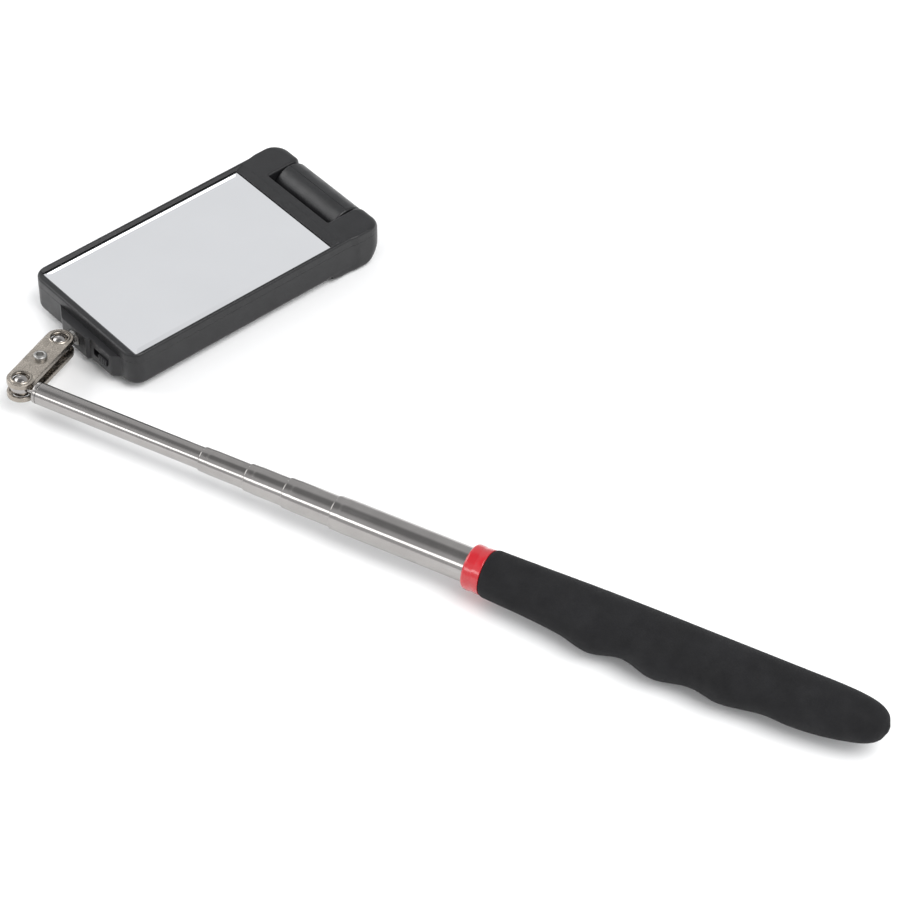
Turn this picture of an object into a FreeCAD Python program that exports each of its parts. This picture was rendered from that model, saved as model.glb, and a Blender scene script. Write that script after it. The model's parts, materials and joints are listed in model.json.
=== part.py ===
"""Telescoping inspection mirror: foam grip, five-section steel mast, double ball joint, and a
rectangular mirror head with a tilting lamp barrel.

Millimetres, +Z up, standing surface at z = 0. +X runs along the mast, from the ball joint to the butt
of the grip. The mast pieces are drawn in the mast's own frame (origin at the mast ball, X along the
mast), the joint pieces in the link's frame (origin at the mast ball, X to the stem ball) and the head
pieces in the head's frame (origin under the stem ball on the standing surface, X along the head, away
from the stem). Each finished piece then gets the Placement of its group.
"""

import FreeCAD, Part
import math
import os

import Sketcher
from FreeCAD import Placement, Rotation, Vector

# Driving dimensions, in millimetres and degrees: name, value, what it is.
DIMENSIONS = [
    # where the groups stand
    ("origin_x", 153.45, "mast ball to the middle of the whole, along the mast"),
    ("origin_y", 70.69, "mast ball to the middle of the whole, across the mast"),
    ("mast_height", 11.98, "mast axis above the standing surface"),
    ("stem_height", 8.5, "stem axis above the standing surface"),
    ("ball_spacing", 27.3, "mast ball to stem ball"),
    ("link_angle", 94.3, "direction of the joint plates from +X"),
    ("head_angle", 69.4, "direction of the mirror head from +X"),
    # mast
    ("tube_count", 5, "mast sections"),
    ("tube_radius", 6.2, "outside radius of the thickest section"),
    ("tube_step", 0.55, "radius lost from one section to the next"),
    ("tube_wall", 0.4, "wall of each section"),
    ("running_gap", 0.05, "radial clearance of every sliding or turning fit"),
    ("mouth_length", 3.0, "length of a section's rolled-in mouth"),
    ("mouth_1", 128.3, "mouth of section 1, from the mast ball"),
    ("mouth_2", 109.2, "mouth of section 2"),
    ("mouth_3", 93.7, "mouth of section 3"),
    ("mouth_4", 75.3, "mouth of section 4"),
    ("mouth_5", 8.1, "mouth of section 5"),
    ("butt_1", 324.3, "inner end of section 1, from the mast ball"),
    ("butt_2", 289.2, "inner end of section 2"),
    ("butt_3", 260.0, "inner end of section 3"),
    ("butt_4", 228.0, "inner end of section 4"),
    ("butt_5", 150.0, "inner end of section 5"),
    ("guide_spigot", 5.0, "length of a guide bush inside its own section"),
    ("guide_length", 10.0, "length of a guide bush that runs in the next section"),
    ("guide_bore", 2.0, "radius of the air hole through a guide bush"),
    ("plug_spigot", 8.0, "length of the handle plug inside section 1"),
    ("plug_flange", 1.5, "thickness of the handle plug's flange"),
    # grip
    ("collar_start", 180.4, "front of the collar, from the mast ball"),
    ("collar_length", 6.7, "length of the collar"),
    ("collar_radius", 8.1, "radius of the collar"),
    ("collar_edge", 0.6, "chamfer on the collar's edges"),
    ("crest_angle", 45.0, "finger crests, from straight down towards -Y"),
    ("bore_check", 1000.0, "least volume that the grip's bore takes away, cubic millimetres"),
    # double ball joint
    ("ball_radius", 4.0, "both balls"),
    ("neck_radius", 1.6, "both balls' necks"),
    ("tip_spigot", 12.0, "length of the ball's plug inside section 5"),
    ("tip_flange", 1.5, "thickness of the shoulder behind the neck"),
    ("overlap", 0.5, "how far fused pieces reach into each other"),
    ("plate_gap", 5.2, "clear gap between the joint plates"),
    ("plate_thickness", 1.1, "joint plate"),
    ("plate_radius", 5.1, "half width and end radius of a joint plate"),
    ("seat_radius", 3.1, "ball seat hole in a joint plate"),
    ("screw_radius", 1.5, "joint screw"),
    ("screw_head_radius", 2.5, "joint screw's head"),
    ("screw_head_height", 1.4, "joint screw's head"),
    ("socket_radius", 1.2, "recess in the joint screw's head"),
    ("nut_radius", 3.1, "joint nut, across corners, halved"),
    ("nut_height", 2.3, "joint nut"),
    ("screw_end", 0.4, "joint screw proud of its nut"),
    # head: case, from the stem ball
    ("hub_start", 6.4, "face of the stem hub"),
    ("hub_half", 7.0, "half width of the hub's face"),
    ("hub_root", 13.0, "half width of the hub where it meets the end wall"),
    ("case_start", 10.2, "end wall of the case"),
    ("case_half", 30.4, "half width of the case"),
    ("flare_start", 110.0, "where the ears begin to flare"),
    ("flare_end", 113.5, "where the flare is full"),
    ("ear_half", 30.9, "half width over the ears"),
    ("ear_gap", 17.6, "half of the gap between the ears"),
    ("recess_start", 109.5, "wall of the lamp recess"),
    ("case_end", 125.2, "ends of the ears"),
    ("nose_top", 3.0, "round over the top of the ears' ends"),
    ("nose_bottom", 8.5, "round under the ears' ends"),
    ("back_height", 2.2, "back of the case above the standing surface"),
    ("ramp_start", 101.0, "where the back begins to run down to the lamp housing"),
    ("ramp_end", 109.0, "where the back reaches the standing surface"),
    ("case_height", 17.0, "top of the bezel"),
    ("parting_height", 13.3, "joint of rear case and bezel"),
    ("corner_round", 5.5, "plan radius at the stem end"),
    ("ear_round", 6.0, "plan radius at the ears"),
    ("back_round", 2.4, "round between back and side walls"),
    ("top_round", 0.8, "round along the bezel's top edge"),
    ("case_wall", 2.0, "case walls"),
    ("case_floor", 4.0, "floor of the case's hollow"),
    ("rib_thickness", 1.2, "cross ribs under the tray"),
    ("rib_1", 40.0, "first cross rib"),
    ("rib_2", 63.0, "second cross rib"),
    # head: mirror
    ("window_start", 13.5, "visible glass, stem end"),
    ("window_length", 89.0, "visible glass"),
    ("window_half", 28.3, "half width of the visible glass"),
    ("reveal", 0.7, "sloped reveal round the glass"),
    ("lamp_reveal", 3.4, "sloped reveal towards the lamp"),
    ("glass_lip", 1.0, "glass held under the bezel, each side"),
    ("glass_recess", 1.0, "glass below the bezel's top"),
    ("glass_thickness", 2.0, "mirror glass"),
    ("fit_gap", 0.2, "gap round a piece dropped into a recess"),
    ("tray_thickness", 1.5, "inner tray"),
    # head: stem
    ("stem_end", 18.0, "inner end of the stem"),
    ("bush_radius", 3.0, "stem bush, outside"),
    ("bush_end", 12.4, "inner end of the stem bush"),
    ("retainer_start", 12.6, "stem retaining collar"),
    ("retainer_length", 2.0, "stem retaining collar"),
    ("retainer_radius", 3.0, "stem retaining collar"),
    # head: case screws
    ("boss_x", 106.3, "case screw bosses"),
    ("boss_y", 24.0, "case screw bosses"),
    ("boss_radius", 2.8, "case screw bosses"),
    ("case_screw_radius", 1.1, "case screws"),
    ("case_screw_head", 2.0, "case screws' heads"),
    ("case_screw_head_height", 1.2, "case screws' heads"),
    ("case_screw_seat", 3.0, "height of the case screws' head seats"),
    ("case_screw_tip", 15.4, "tips of the case screws"),
    # head: battery
    ("cell_x", 80.0, "centre of the coin cells"),
    ("cell_radius", 10.0, "coin cell"),
    ("cell_height", 3.2, "coin cell"),
    ("cell_base", 5.0, "underside of the lower cell"),
    ("door_half", 12.5, "half width of the battery door's recess"),
    ("door_start", 67.0, "battery door's recess, stem end"),
    ("door_end", 97.0, "battery door's recess, lamp end"),
    ("door_seat", 3.8, "floor of the battery door's recess"),
    ("door_face", 2.5, "outside of the battery door"),
    ("door_screw_x", 94.4, "battery door screw"),
    ("door_screw_radius", 0.9, "battery door screw"),
    ("door_screw_head", 1.7, "battery door screw's head"),
    ("door_boss_top", 8.0, "top of the battery door's screw boss"),
    ("door_boss_radius", 2.2, "battery door's screw boss"),
    ("door_screw_head_height", 0.9, "battery door screw's countersunk head"),
    ("door_screw_length", 5.0, "battery door screw"),
    ("well_half", 10.4, "half width of the battery well"),
    ("contact_thickness", 0.4, "battery contacts"),
    ("contact_half", 4.0, "half width of the battery contacts"),
    ("spring_half", 6.0, "half length of the battery spring's foot"),
    ("spring_leaf", 9.0, "length of the battery spring's leaf"),
    ("plate_half", 8.0, "half length of the battery plate"),
    # head: switch
    ("switch_wall", 7.6, "face of the switch boss"),
    ("switch_edge", 20.5, "side of the switch boss's face"),
    ("switch_root", 23.0, "side of the switch boss where it meets the end wall"),
    ("switch_y", -14.5, "centre of the switch"),
    ("switch_slot", 4.2, "half length of the switch slot"),
    ("switch_slot_height", 1.6, "half height of the switch slot"),
    ("knob_half", 2.3, "half length of the switch knob"),
    ("knob_proud", 0.9, "knob proud of the switch boss"),
    ("switch_depth", 4.5, "depth of the switch body"),
    ("switch_half", 5.5, "half length of the switch body"),
    ("switch_half_height", 3.0, "half height of the switch body"),
    ("switch_track", 1.6, "depth of the knob's track in the switch body"),
    # head: lamp barrel
    ("barrel_x", 119.0, "lamp barrel axis"),
    ("barrel_z", 9.2, "lamp barrel axis above the standing surface"),
    ("barrel_radius", 8.0, "lamp barrel"),
    ("barrel_half", 17.2, "half length of the lamp barrel"),
    ("barrel_wall", 1.3, "wall of the lamp barrel"),
    ("barrel_end_wall", 2.0, "end walls of the lamp barrel"),
    ("pivot_radius", 1.5, "barrel pivots"),
    ("pivot_end", 20.6, "outer ends of the barrel pivots"),
    ("lamp_half", 12.5, "half length of the lamp window"),
    ("lamp_half_height", 3.6, "half height of the lamp window"),
    ("lamp_opening", 3.0, "inner face of the lamp window's opening, from the barrel axis"),
    ("lamp_sunk", 0.1, "lamp window below the barrel's skin"),
    ("lamp_window_wall", 1.1, "lamp window"),
    ("led_y", 6.5, "each LED from the middle of the barrel"),
    ("led_radius", 2.5, "LED"),
    ("led_can", 2.6, "straight part of an LED"),
    ("board_x", 117.4, "rear face of the lamp board"),
    ("board_thickness", 1.2, "lamp board"),
    ("board_half", 13.5, "half length of the lamp board"),
    ("board_half_height", 4.6, "half height of the lamp board"),
]

# Grip sections: distance from the mast ball, radius on the finger side, radius on the opposite side.
GRIP_SECTIONS = [
    (187.1, 8.1, 8.1),
    (189.0, 8.5, 8.5),
    (205.0, 9.2, 8.8),
    (218.0, 10.3, 9.1),
    (229.3, 12.3, 9.3),
    (241.0, 10.0, 9.4),
    (252.8, 12.4, 9.4),
    (266.0, 10.4, 9.4),
    (276.7, 11.7, 9.4),
    (292.0, 9.7, 9.4),
    (301.3, 9.9, 9.4),
    (312.0, 9.1, 9.4),
    (320.6, 7.6, 9.0),
    (326.9, 5.8, 7.9),
    (330.6, 3.3, 5.7),
    (332.2, 0.2, 2.6),
]


class Size:
    """A number with the spreadsheet expression that gives it."""

    def __init__(self, value, text):
        self.value = float(value)
        self.text = text

    def __add__(self, other):
        other = as_size(other)
        return Size(self.value + other.value, f"({self.text} + {other.text})")

    def __sub__(self, other):
        other = as_size(other)
        return Size(self.value - other.value, f"({self.text} - {other.text})")

    def __mul__(self, factor):
        factor = as_size(factor)
        return Size(self.value * factor.value, f"({self.text} * {factor.text})")

    def __neg__(self):
        return Size(-self.value, f"(0 - {self.text})")


def as_size(number):
    """A Size as it is, or a plain number as a Size of its own."""
    return number if isinstance(number, Size) else Size(number, f"({number})")


doc = FreeCAD.newDocument("inspection_mirror")
sheet = doc.addObject("Spreadsheet::Sheet", "dims")
D = {}
for row, (alias, value, meaning) in enumerate(DIMENSIONS, start=1):
    sheet.set(f"A{row}", meaning)
    sheet.set(f"B{row}", str(value))
    sheet.setAlias(f"B{row}", alias)
    D[alias] = Size(value, f"dims.{alias}")
for index, section in enumerate(GRIP_SECTIONS, start=1):
    row = len(DIMENSIONS) + index
    sheet.set(f"A{row}", f"grip section {index}")
    for column, word, value in zip("BCD", ("along", "finger", "back"), section):
        alias = f"grip_{word}_{index}"
        sheet.set(f"{column}{row}", str(value))
        sheet.setAlias(f"{column}{row}", alias)
        D[alias] = Size(value, f"dims.{alias}")
doc.recompute()


# ---------------------------------------------------------------- drawing helpers

AXES = {"x": Vector(1, 0, 0), "y": Vector(0, 1, 0), "z": Vector(0, 0, 1)}


def bind(obj, **sizes):
    """Bind properties of an object to their spreadsheet expressions."""
    for name, size in sizes.items():
        obj.setExpression(name, as_size(size).text)


def bind_base(obj, x, y, z):
    """Bind an object's position to spreadsheet expressions."""
    for axis, size in zip("xyz", (x, y, z)):
        obj.setExpression(f".Placement.Base.{axis}", as_size(size).text)


def box(name, x, y, z):
    """A block between the low and high bounds given for each axis."""
    block = doc.addObject("Part::Box", name)
    bind(block, Length=as_size(x[1]) - x[0], Width=as_size(y[1]) - y[0], Height=as_size(z[1]) - z[0])
    bind_base(block, x[0], y[0], z[0])
    return block


def cylinder(name, axis, start, radius, length):
    """A cylinder from start along axis."""
    rod = doc.addObject("Part::Cylinder", name)
    rod.Placement = Placement(Vector(), Rotation(Vector(0, 0, 1), AXES[axis]))
    bind(rod, Radius=radius, Height=length)
    bind_base(rod, *start)
    return rod


def cone(name, axis, start, radius_1, radius_2, length):
    """A cone frustum from start along axis."""
    frustum = doc.addObject("Part::Cone", name)
    frustum.Placement = Placement(Vector(), Rotation(Vector(0, 0, 1), AXES[axis]))
    bind(frustum, Radius1=radius_1, Radius2=radius_2, Height=length)
    bind_base(frustum, *start)
    return frustum


def sphere(name, centre, radius):
    """A ball with its poles on X, so that a shaft along X leaves it at a pole."""
    ball = doc.addObject("Part::Sphere", name)
    ball.Placement = Placement(Vector(), Rotation(Vector(0, 0, 1), AXES["x"]))
    bind(ball, Radius=radius)
    bind_base(ball, *centre)
    return ball


def fuse(name, *shapes):
    """One solid from several that touch or overlap."""
    whole = doc.addObject("Part::MultiFuse", name)
    whole.Shapes = list(shapes)
    whole.Refine = True
    return whole


def cut(name, base, *tools):
    """Base without the tools."""
    rest = doc.addObject("Part::Cut", name)
    rest.Base = base
    rest.Tool = tools[0] if len(tools) == 1 else fuse(f"{name}_cutter", *tools)
    return rest


def common(name, base, tool):
    """What base and tool share."""
    shared = doc.addObject("Part::Common", name)
    shared.Base = base
    shared.Tool = tool
    return shared


def group(name, *shapes):
    """Solids that make one node, with a Placement of its own."""
    compound = doc.addObject("Part::Compound", name)
    compound.Links = list(shapes)
    return compound


def body_plane(body, role):
    """One of a body's own origin planes or axes."""
    return next(f for f in body.Origin.OriginFeatures if f.Role == role)


def new_sketch(body, name, role="XY_Plane", height=0):
    """A sketch on one of the body's own planes, raised by height."""
    sketch = body.newObject("Sketcher::SketchObject", name)
    sketch.AttachmentSupport = [(body_plane(body, role), "")]
    sketch.MapMode = "FlatFace"
    sketch.setExpression(".AttachmentOffset.Base.z", as_size(height).text)
    return sketch


def hold(sketch, kind, vertex, size):
    """Hold one vertex at a bound distance from the sketch's origin along one direction."""
    size = as_size(size)
    if abs(size.value) < 1e-9:
        axis = -2 if kind == "DistanceX" else -1
        sketch.addConstraint(Sketcher.Constraint("PointOnObject", *vertex, axis))
        return
    index = sketch.addConstraint(Sketcher.Constraint(kind, -1, 1, *vertex, size.value))
    sketch.setExpression(f"Constraints[{index}]", size.text)


def polygon(sketch, points):
    """A closed outline whose corners are all bound to the sheet."""
    places = [Vector(as_size(x).value, as_size(y).value, 0) for x, y in points]
    count = len(places)
    for i in range(count):
        sketch.addGeometry(Part.LineSegment(places[i], places[(i + 1) % count]))
    for i in range(count):
        sketch.addConstraint(Sketcher.Constraint("Coincident", i, 2, (i + 1) % count, 1))
    for i, (x, y) in enumerate(points):
        hold(sketch, "DistanceX", (i, 1), x)
        hold(sketch, "DistanceY", (i, 1), y)


def circle(sketch, x, y, radius):
    """A circle whose centre and radius are bound to the sheet."""
    radius = as_size(radius)
    centre = Vector(as_size(x).value, as_size(y).value, 0)
    index = sketch.addGeometry(Part.Circle(centre, Vector(0, 0, 1), radius.value))
    hold(sketch, "DistanceX", (index, 3), x)
    hold(sketch, "DistanceY", (index, 3), y)
    held = sketch.addConstraint(Sketcher.Constraint("Radius", index, radius.value))
    sketch.setExpression(f"Constraints[{held}]", radius.text)


def pad(body, name, sketch, length):
    """Extrude a sketch upwards."""
    feature = body.newObject("PartDesign::Pad", name)
    feature.Profile = sketch
    bind(feature, Length=length)
    return feature


def turned(name, profile):
    """A body turned about X from a closed profile of (distance along X, radius)."""
    body = doc.addObject("PartDesign::Body", name)
    sketch = new_sketch(body, f"{name}_profile")
    polygon(sketch, profile)
    turn = body.newObject("PartDesign::Revolution", f"{name}_turn")
    turn.Profile = sketch
    turn.ReferenceAxis = (sketch, ["H_Axis"])
    turn.Angle = 360
    return body


def round_edges(body, name, base, radius, chosen):
    """Round the edges of a feature that chosen(edge) picks."""
    doc.recompute()
    edges = [f"Edge{i}" for i, edge in enumerate(base.Shape.Edges, start=1) if chosen(edge)]
    feature = body.newObject("PartDesign::Fillet", name)
    feature.Base = (base, edges)
    bind(feature, Radius=radius)
    return feature


def is_upright(edge):
    """True for an edge parallel to Z."""
    span = edge.Vertexes[-1].Point - edge.Vertexes[0].Point
    return math.hypot(span.x, span.y) < 1e-6 < abs(span.z)


def lies_at(edge, height):
    """True for an edge all at one height."""
    return abs(edge.BoundBox.ZMin - height) < 1e-6 and abs(edge.BoundBox.ZMax - height) < 1e-6


# ---------------------------------------------------------------- mast and handle

TUBES = range(1, int(D["tube_count"].value) + 1)


def tube_radius(number):
    """Outside radius of a mast section, counted from the thickest."""
    return D["tube_radius"] - D["tube_step"] * (number - 1)


def bore_radius(number):
    """Inside radius of a mast section."""
    return tube_radius(number) - D["tube_wall"]


def mast_tube(number):
    """One section: a thin tube whose mouth is rolled in round the next section."""
    mouth = D[f"mouth_{number}"]
    butt = D[f"butt_{number}"]
    outside = tube_radius(number)
    bore = bore_radius(number)
    if number == TUBES[-1]:
        return turned(f"mast_tube_{number}", [(mouth, bore), (butt, bore), (butt, outside), (mouth, outside)])
    lip = tube_radius(number + 1) + D["running_gap"]
    lip_end = mouth + D["mouth_length"]
    profile = [(mouth, lip), (lip_end, lip), (lip_end, bore), (butt, bore), (butt, outside), (mouth, outside)]
    return turned(f"mast_tube_{number}", profile)


def guide_bush(number):
    """The bush on a sliding section's inner end, which runs in the section outside it."""
    butt = D[f"butt_{number}"]
    spigot = bore_radius(number)
    guide = bore_radius(number - 1) - D["running_gap"]
    start = butt - D["guide_spigot"]
    end = butt + D["guide_length"]
    hole = D["guide_bore"]
    profile = [(start, hole), (end, hole), (end, guide), (butt, guide), (butt, spigot), (start, spigot)]
    return turned(f"guide_bush_{number}", profile)


def handle_plug():
    """The plug that closes the thickest section under the grip's butt."""
    butt = D["butt_1"]
    end = butt + D["plug_flange"]
    profile = [(butt - D["plug_spigot"], 0), (end, 0), (end, tube_radius(1)), (butt, tube_radius(1))]
    profile += [(butt, bore_radius(1)), (butt - D["plug_spigot"], bore_radius(1))]
    return turned("handle_plug", profile)


def grip_collar():
    """The ring in front of the grip."""
    start, edge, radius = D["collar_start"], D["collar_edge"], D["collar_radius"]
    end = start + D["collar_length"]
    profile = [(start, tube_radius(1)), (end, tube_radius(1)), (end, radius)]
    profile += [(start + edge, radius), (start, radius - edge)]
    return turned("grip_collar", profile)


def grip():
    """The foam grip: a loft through circles whose centres lean towards the finger side."""
    body = doc.addObject("PartDesign::Body", "grip")
    across = Size(math.sin(math.radians(D["crest_angle"].value)), "sin(dims.crest_angle * 1deg)")
    down = Size(math.cos(math.radians(D["crest_angle"].value)), "cos(dims.crest_angle * 1deg)")
    sketches = []
    for index in range(1, len(GRIP_SECTIONS) + 1):
        finger, back = D[f"grip_finger_{index}"], D[f"grip_back_{index}"]
        sketch = new_sketch(body, f"grip_section_{index}", "YZ_Plane", D[f"grip_along_{index}"])
        offset = (back - finger) * 0.5
        circle(sketch, offset * across, offset * down, (finger + back) * 0.5)
        sketches.append(sketch)
    loft = body.newObject("PartDesign::AdditiveLoft", "grip_loft")
    loft.Profile = sketches[0]
    loft.Sections = sketches[1:]
    hole = new_sketch(body, "grip_hole", "YZ_Plane", D["collar_start"] + D["collar_length"])
    circle(hole, 0, 0, tube_radius(1))
    doc.recompute()
    before = body.Shape.Volume
    bore = body.newObject("PartDesign::Pocket", "grip_bore")
    bore.Profile = hole
    bore.Reversed = True
    bind(bore, Length=D["butt_1"] + D["plug_flange"] - D["collar_start"] - D["collar_length"])
    doc.recompute()
    if body.Shape.Volume > before - D["bore_check"].value:
        raise RuntimeError("the grip's bore is not cut")
    return body


def mast_ball():
    """The ball, its neck, a shoulder and the plug that turns in section 5."""
    mouth = D["mouth_5"] - D["running_gap"] * 2
    shoulder = mouth - D["tip_flange"]
    return fuse(
        "mast_ball",
        sphere("mast_ball_sphere", (0, 0, 0), D["ball_radius"]),
        cylinder("mast_ball_neck", "x", (0, 0, 0), D["neck_radius"], shoulder + D["overlap"]),
        cylinder("mast_ball_shoulder", "x", (shoulder, 0, 0), tube_radius(5), D["tip_flange"]),
        cylinder("mast_ball_plug", "x", (mouth - D["overlap"], 0, 0), bore_radius(5) - D["running_gap"],
                 D["tip_spigot"]),
    )


# ---------------------------------------------------------------- double ball joint


def link_plate(name, base):
    """One stamped plate: round ends, two ball seats and a screw hole."""
    body = doc.addObject("PartDesign::Body", name)
    radius, span = D["plate_radius"], D["ball_spacing"]
    ends = [new_sketch(body, f"{name}_end_{i}", height=base) for i in (1, 2)]
    circle(ends[0], 0, 0, radius)
    circle(ends[1], span, 0, radius)
    web = new_sketch(body, f"{name}_web", height=base)
    polygon(web, [(0, -radius), (span, -radius), (span, radius), (0, radius)])
    for sketch in (web, *ends):
        pad(body, f"{sketch.Name}_pad", sketch, D["plate_thickness"])
    holes = new_sketch(body, f"{name}_holes", height=base)
    circle(holes, 0, 0, D["seat_radius"])
    circle(holes, span, 0, D["seat_radius"])
    circle(holes, span * 0.5, 0, D["screw_radius"])
    doc.recompute()
    before = body.Shape.Volume
    pierce = body.newObject("PartDesign::Pocket", f"{name}_pierce")
    pierce.Profile = holes
    pierce.Reversed = True
    bind(pierce, Length=D["plate_thickness"])
    doc.recompute()
    if not body.Shape.Volume < before:
        raise RuntimeError(f"{name} is not pierced")
    return body


def link_screw():
    """The screw that clamps both plates on the balls, with a recess in its head."""
    middle = D["ball_spacing"] * 0.5
    top = D["plate_gap"] * 0.5 + D["plate_thickness"]
    bottom = -(top + D["nut_height"] + D["screw_end"])
    shank_length = top - bottom + D["overlap"]
    shank = cylinder("link_screw_shank", "z", (middle, 0, bottom), D["screw_radius"], shank_length)
    head = cylinder("link_screw_head", "z", (middle, 0, top), D["screw_head_radius"], D["screw_head_height"])
    depth = D["screw_head_height"] * 0.75
    recess_base = top + D["screw_head_height"] - depth
    recess = cylinder("link_screw_recess", "z", (middle, 0, recess_base), D["socket_radius"], depth + 1)
    return cut("link_screw", fuse("link_screw_blank", shank, head), recess)


def link_nut():
    """The hexagon nut under the lower plate."""
    top = D["plate_gap"] * 0.5 + D["plate_thickness"]
    prism = doc.addObject("Part::Prism", "link_nut_hexagon")
    prism.Polygon = 6
    bind(prism, Circumradius=D["nut_radius"], Height=D["nut_height"])
    bind_base(prism, D["ball_spacing"] * 0.5, 0, -(top + D["nut_height"]))
    hole_base = -(top + D["nut_height"] + 1)
    middle = D["ball_spacing"] * 0.5
    hole = cylinder("link_nut_hole", "z", (middle, 0, hole_base), D["screw_radius"], D["nut_height"] + 2)
    return cut("link_nut", prism, hole)


# ---------------------------------------------------------------- head


def mirrored(half):
    """A closed outline from its +Y half."""
    return half + [(x, -y) for x, y in reversed(half)]


def main_outline():
    """Plan of the case up to the lamp housing, with the stem hub and the switch boss beside it."""
    switch_wall = D["switch_wall"]
    return [
        (D["hub_start"], D["hub_half"]),
        (D["case_start"], D["hub_root"]),
        (D["case_start"], D["case_half"]),
        (D["flare_start"], D["case_half"]),
        (D["flare_start"], -D["case_half"]),
        (D["case_start"], -D["case_half"]),
        (D["case_start"], -D["switch_root"]),
        (switch_wall, -D["switch_edge"]),
        (switch_wall, -(D["hub_half"] + switch_wall - D["hub_start"])),
        (D["hub_start"], -D["hub_half"]),
    ]


def lamp_outline(start):
    """Plan of the lamp housing: it flares into two ears, one each side of the lamp recess."""
    return mirrored([
        (start, D["case_half"]),
        (D["flare_start"], D["case_half"]),
        (D["flare_end"], D["ear_half"]),
        (D["case_end"], D["ear_half"]),
        (D["case_end"], D["ear_gap"]),
        (D["recess_start"], D["ear_gap"]),
    ])


def is_at(edge, x, half):
    """True for an upright edge at one distance along the head and one half width, on either side."""
    point = edge.Vertexes[0].Point
    return is_upright(edge) and abs(point.x - x.value) < 1e-3 and abs(abs(point.y) - half.value) < 1e-3


def block(name, outline, base, height):
    """A body padded from a plan. Returns the body and its pad."""
    body = doc.addObject("PartDesign::Body", name)
    sketch = new_sketch(body, f"{name}_plan", height=base)
    polygon(sketch, outline)
    return body, pad(body, f"{name}_block", sketch, height)


def round_stem_corners(body, last):
    """Round the case's two upright corners at the stem end."""
    chosen = lambda edge: is_at(edge, D["case_start"], D["case_half"])
    return round_edges(body, f"{body.Name}_corners", last, D["corner_round"], chosen)


def round_ear_corners(body, last):
    """Round the ears' outer upright corners."""
    chosen = lambda edge: is_at(edge, D["case_end"], D["ear_half"])
    return round_edges(body, f"{body.Name}_ears", last, D["ear_round"], chosen)


def round_nosed(name, blank):
    """The blank with its ears' ends rounded over, seen from the side."""
    body = doc.addObject("PartDesign::Body", f"{name}_side_view")
    reach = D["ear_half"] + 1
    end, height = D["case_end"], D["case_height"]
    sketch = new_sketch(body, f"{name}_profile", "XZ_Plane", -reach)
    polygon(sketch, [(0, 0), (end, 0), (end, height), (0, height)])
    last = pad(body, f"{name}_slab", sketch, reach * 2)

    def is_end_edge(edge, z):
        return lies_at(edge, z) and abs(edge.CenterOfGravity.x - end.value) < 1e-3

    last = round_edges(body, f"{name}_under", last, D["nose_bottom"], lambda edge: is_end_edge(edge, 0))
    round_edges(body, f"{name}_over", last, D["nose_top"], lambda edge: is_end_edge(edge, height.value))
    return common(name, blank, body)


def main_block():
    """The solid of the case up to the lamp housing, its back above the standing surface."""
    height = D["parting_height"] - D["back_height"]
    body, last = block("rear_case_main", main_outline(), D["back_height"], height)
    last = round_stem_corners(body, last)
    back = D["back_height"].value
    inside_housing = D["flare_start"].value - 1

    def is_back_edge(edge):
        return lies_at(edge, back) and edge.CenterOfGravity.x < inside_housing

    round_edges(body, "rear_case_main_back", last, D["back_round"], is_back_edge)
    return body


def lamp_block():
    """The solid of the lamp housing, which runs down to the standing surface."""
    body, last = block("rear_case_lamp", lamp_outline(D["ramp_start"]), 0, D["parting_height"])
    last = round_ear_corners(body, last)
    ear_gap = D["ear_gap"].value

    def is_side_edge(edge):
        return lies_at(edge, 0) and abs(edge.CenterOfGravity.y) > ear_gap + 1 and not across_end(edge)

    def across_end(edge):
        return abs(edge.CenterOfGravity.x - D["case_end"].value) < 1e-3

    round_edges(body, "rear_case_lamp_back", last, D["back_round"], is_side_edge)
    ramp = doc.addObject("PartDesign::Body", "rear_case_ramp")
    reach = D["ear_half"] + 1
    sketch = new_sketch(ramp, "rear_case_ramp_profile", "XZ_Plane", -reach)
    start, end, back = D["ramp_start"], D["ramp_end"], D["back_height"]
    polygon(sketch, [(start - 1, -back), (end, -back), (end, 0), (start, back), (start - 1, back)])
    pad(ramp, "rear_case_ramp_block", sketch, reach * 2)
    return cut("rear_case_lamp_ramped", round_nosed("rear_case_lamp_nosed", body), ramp)


def tray_bottom():
    """Height of the underside of the tray."""
    return D["parting_height"] - D["tray_thickness"]


def cavity_half():
    """Half width of the case's hollow."""
    return D["case_half"] - D["case_wall"]


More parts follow.
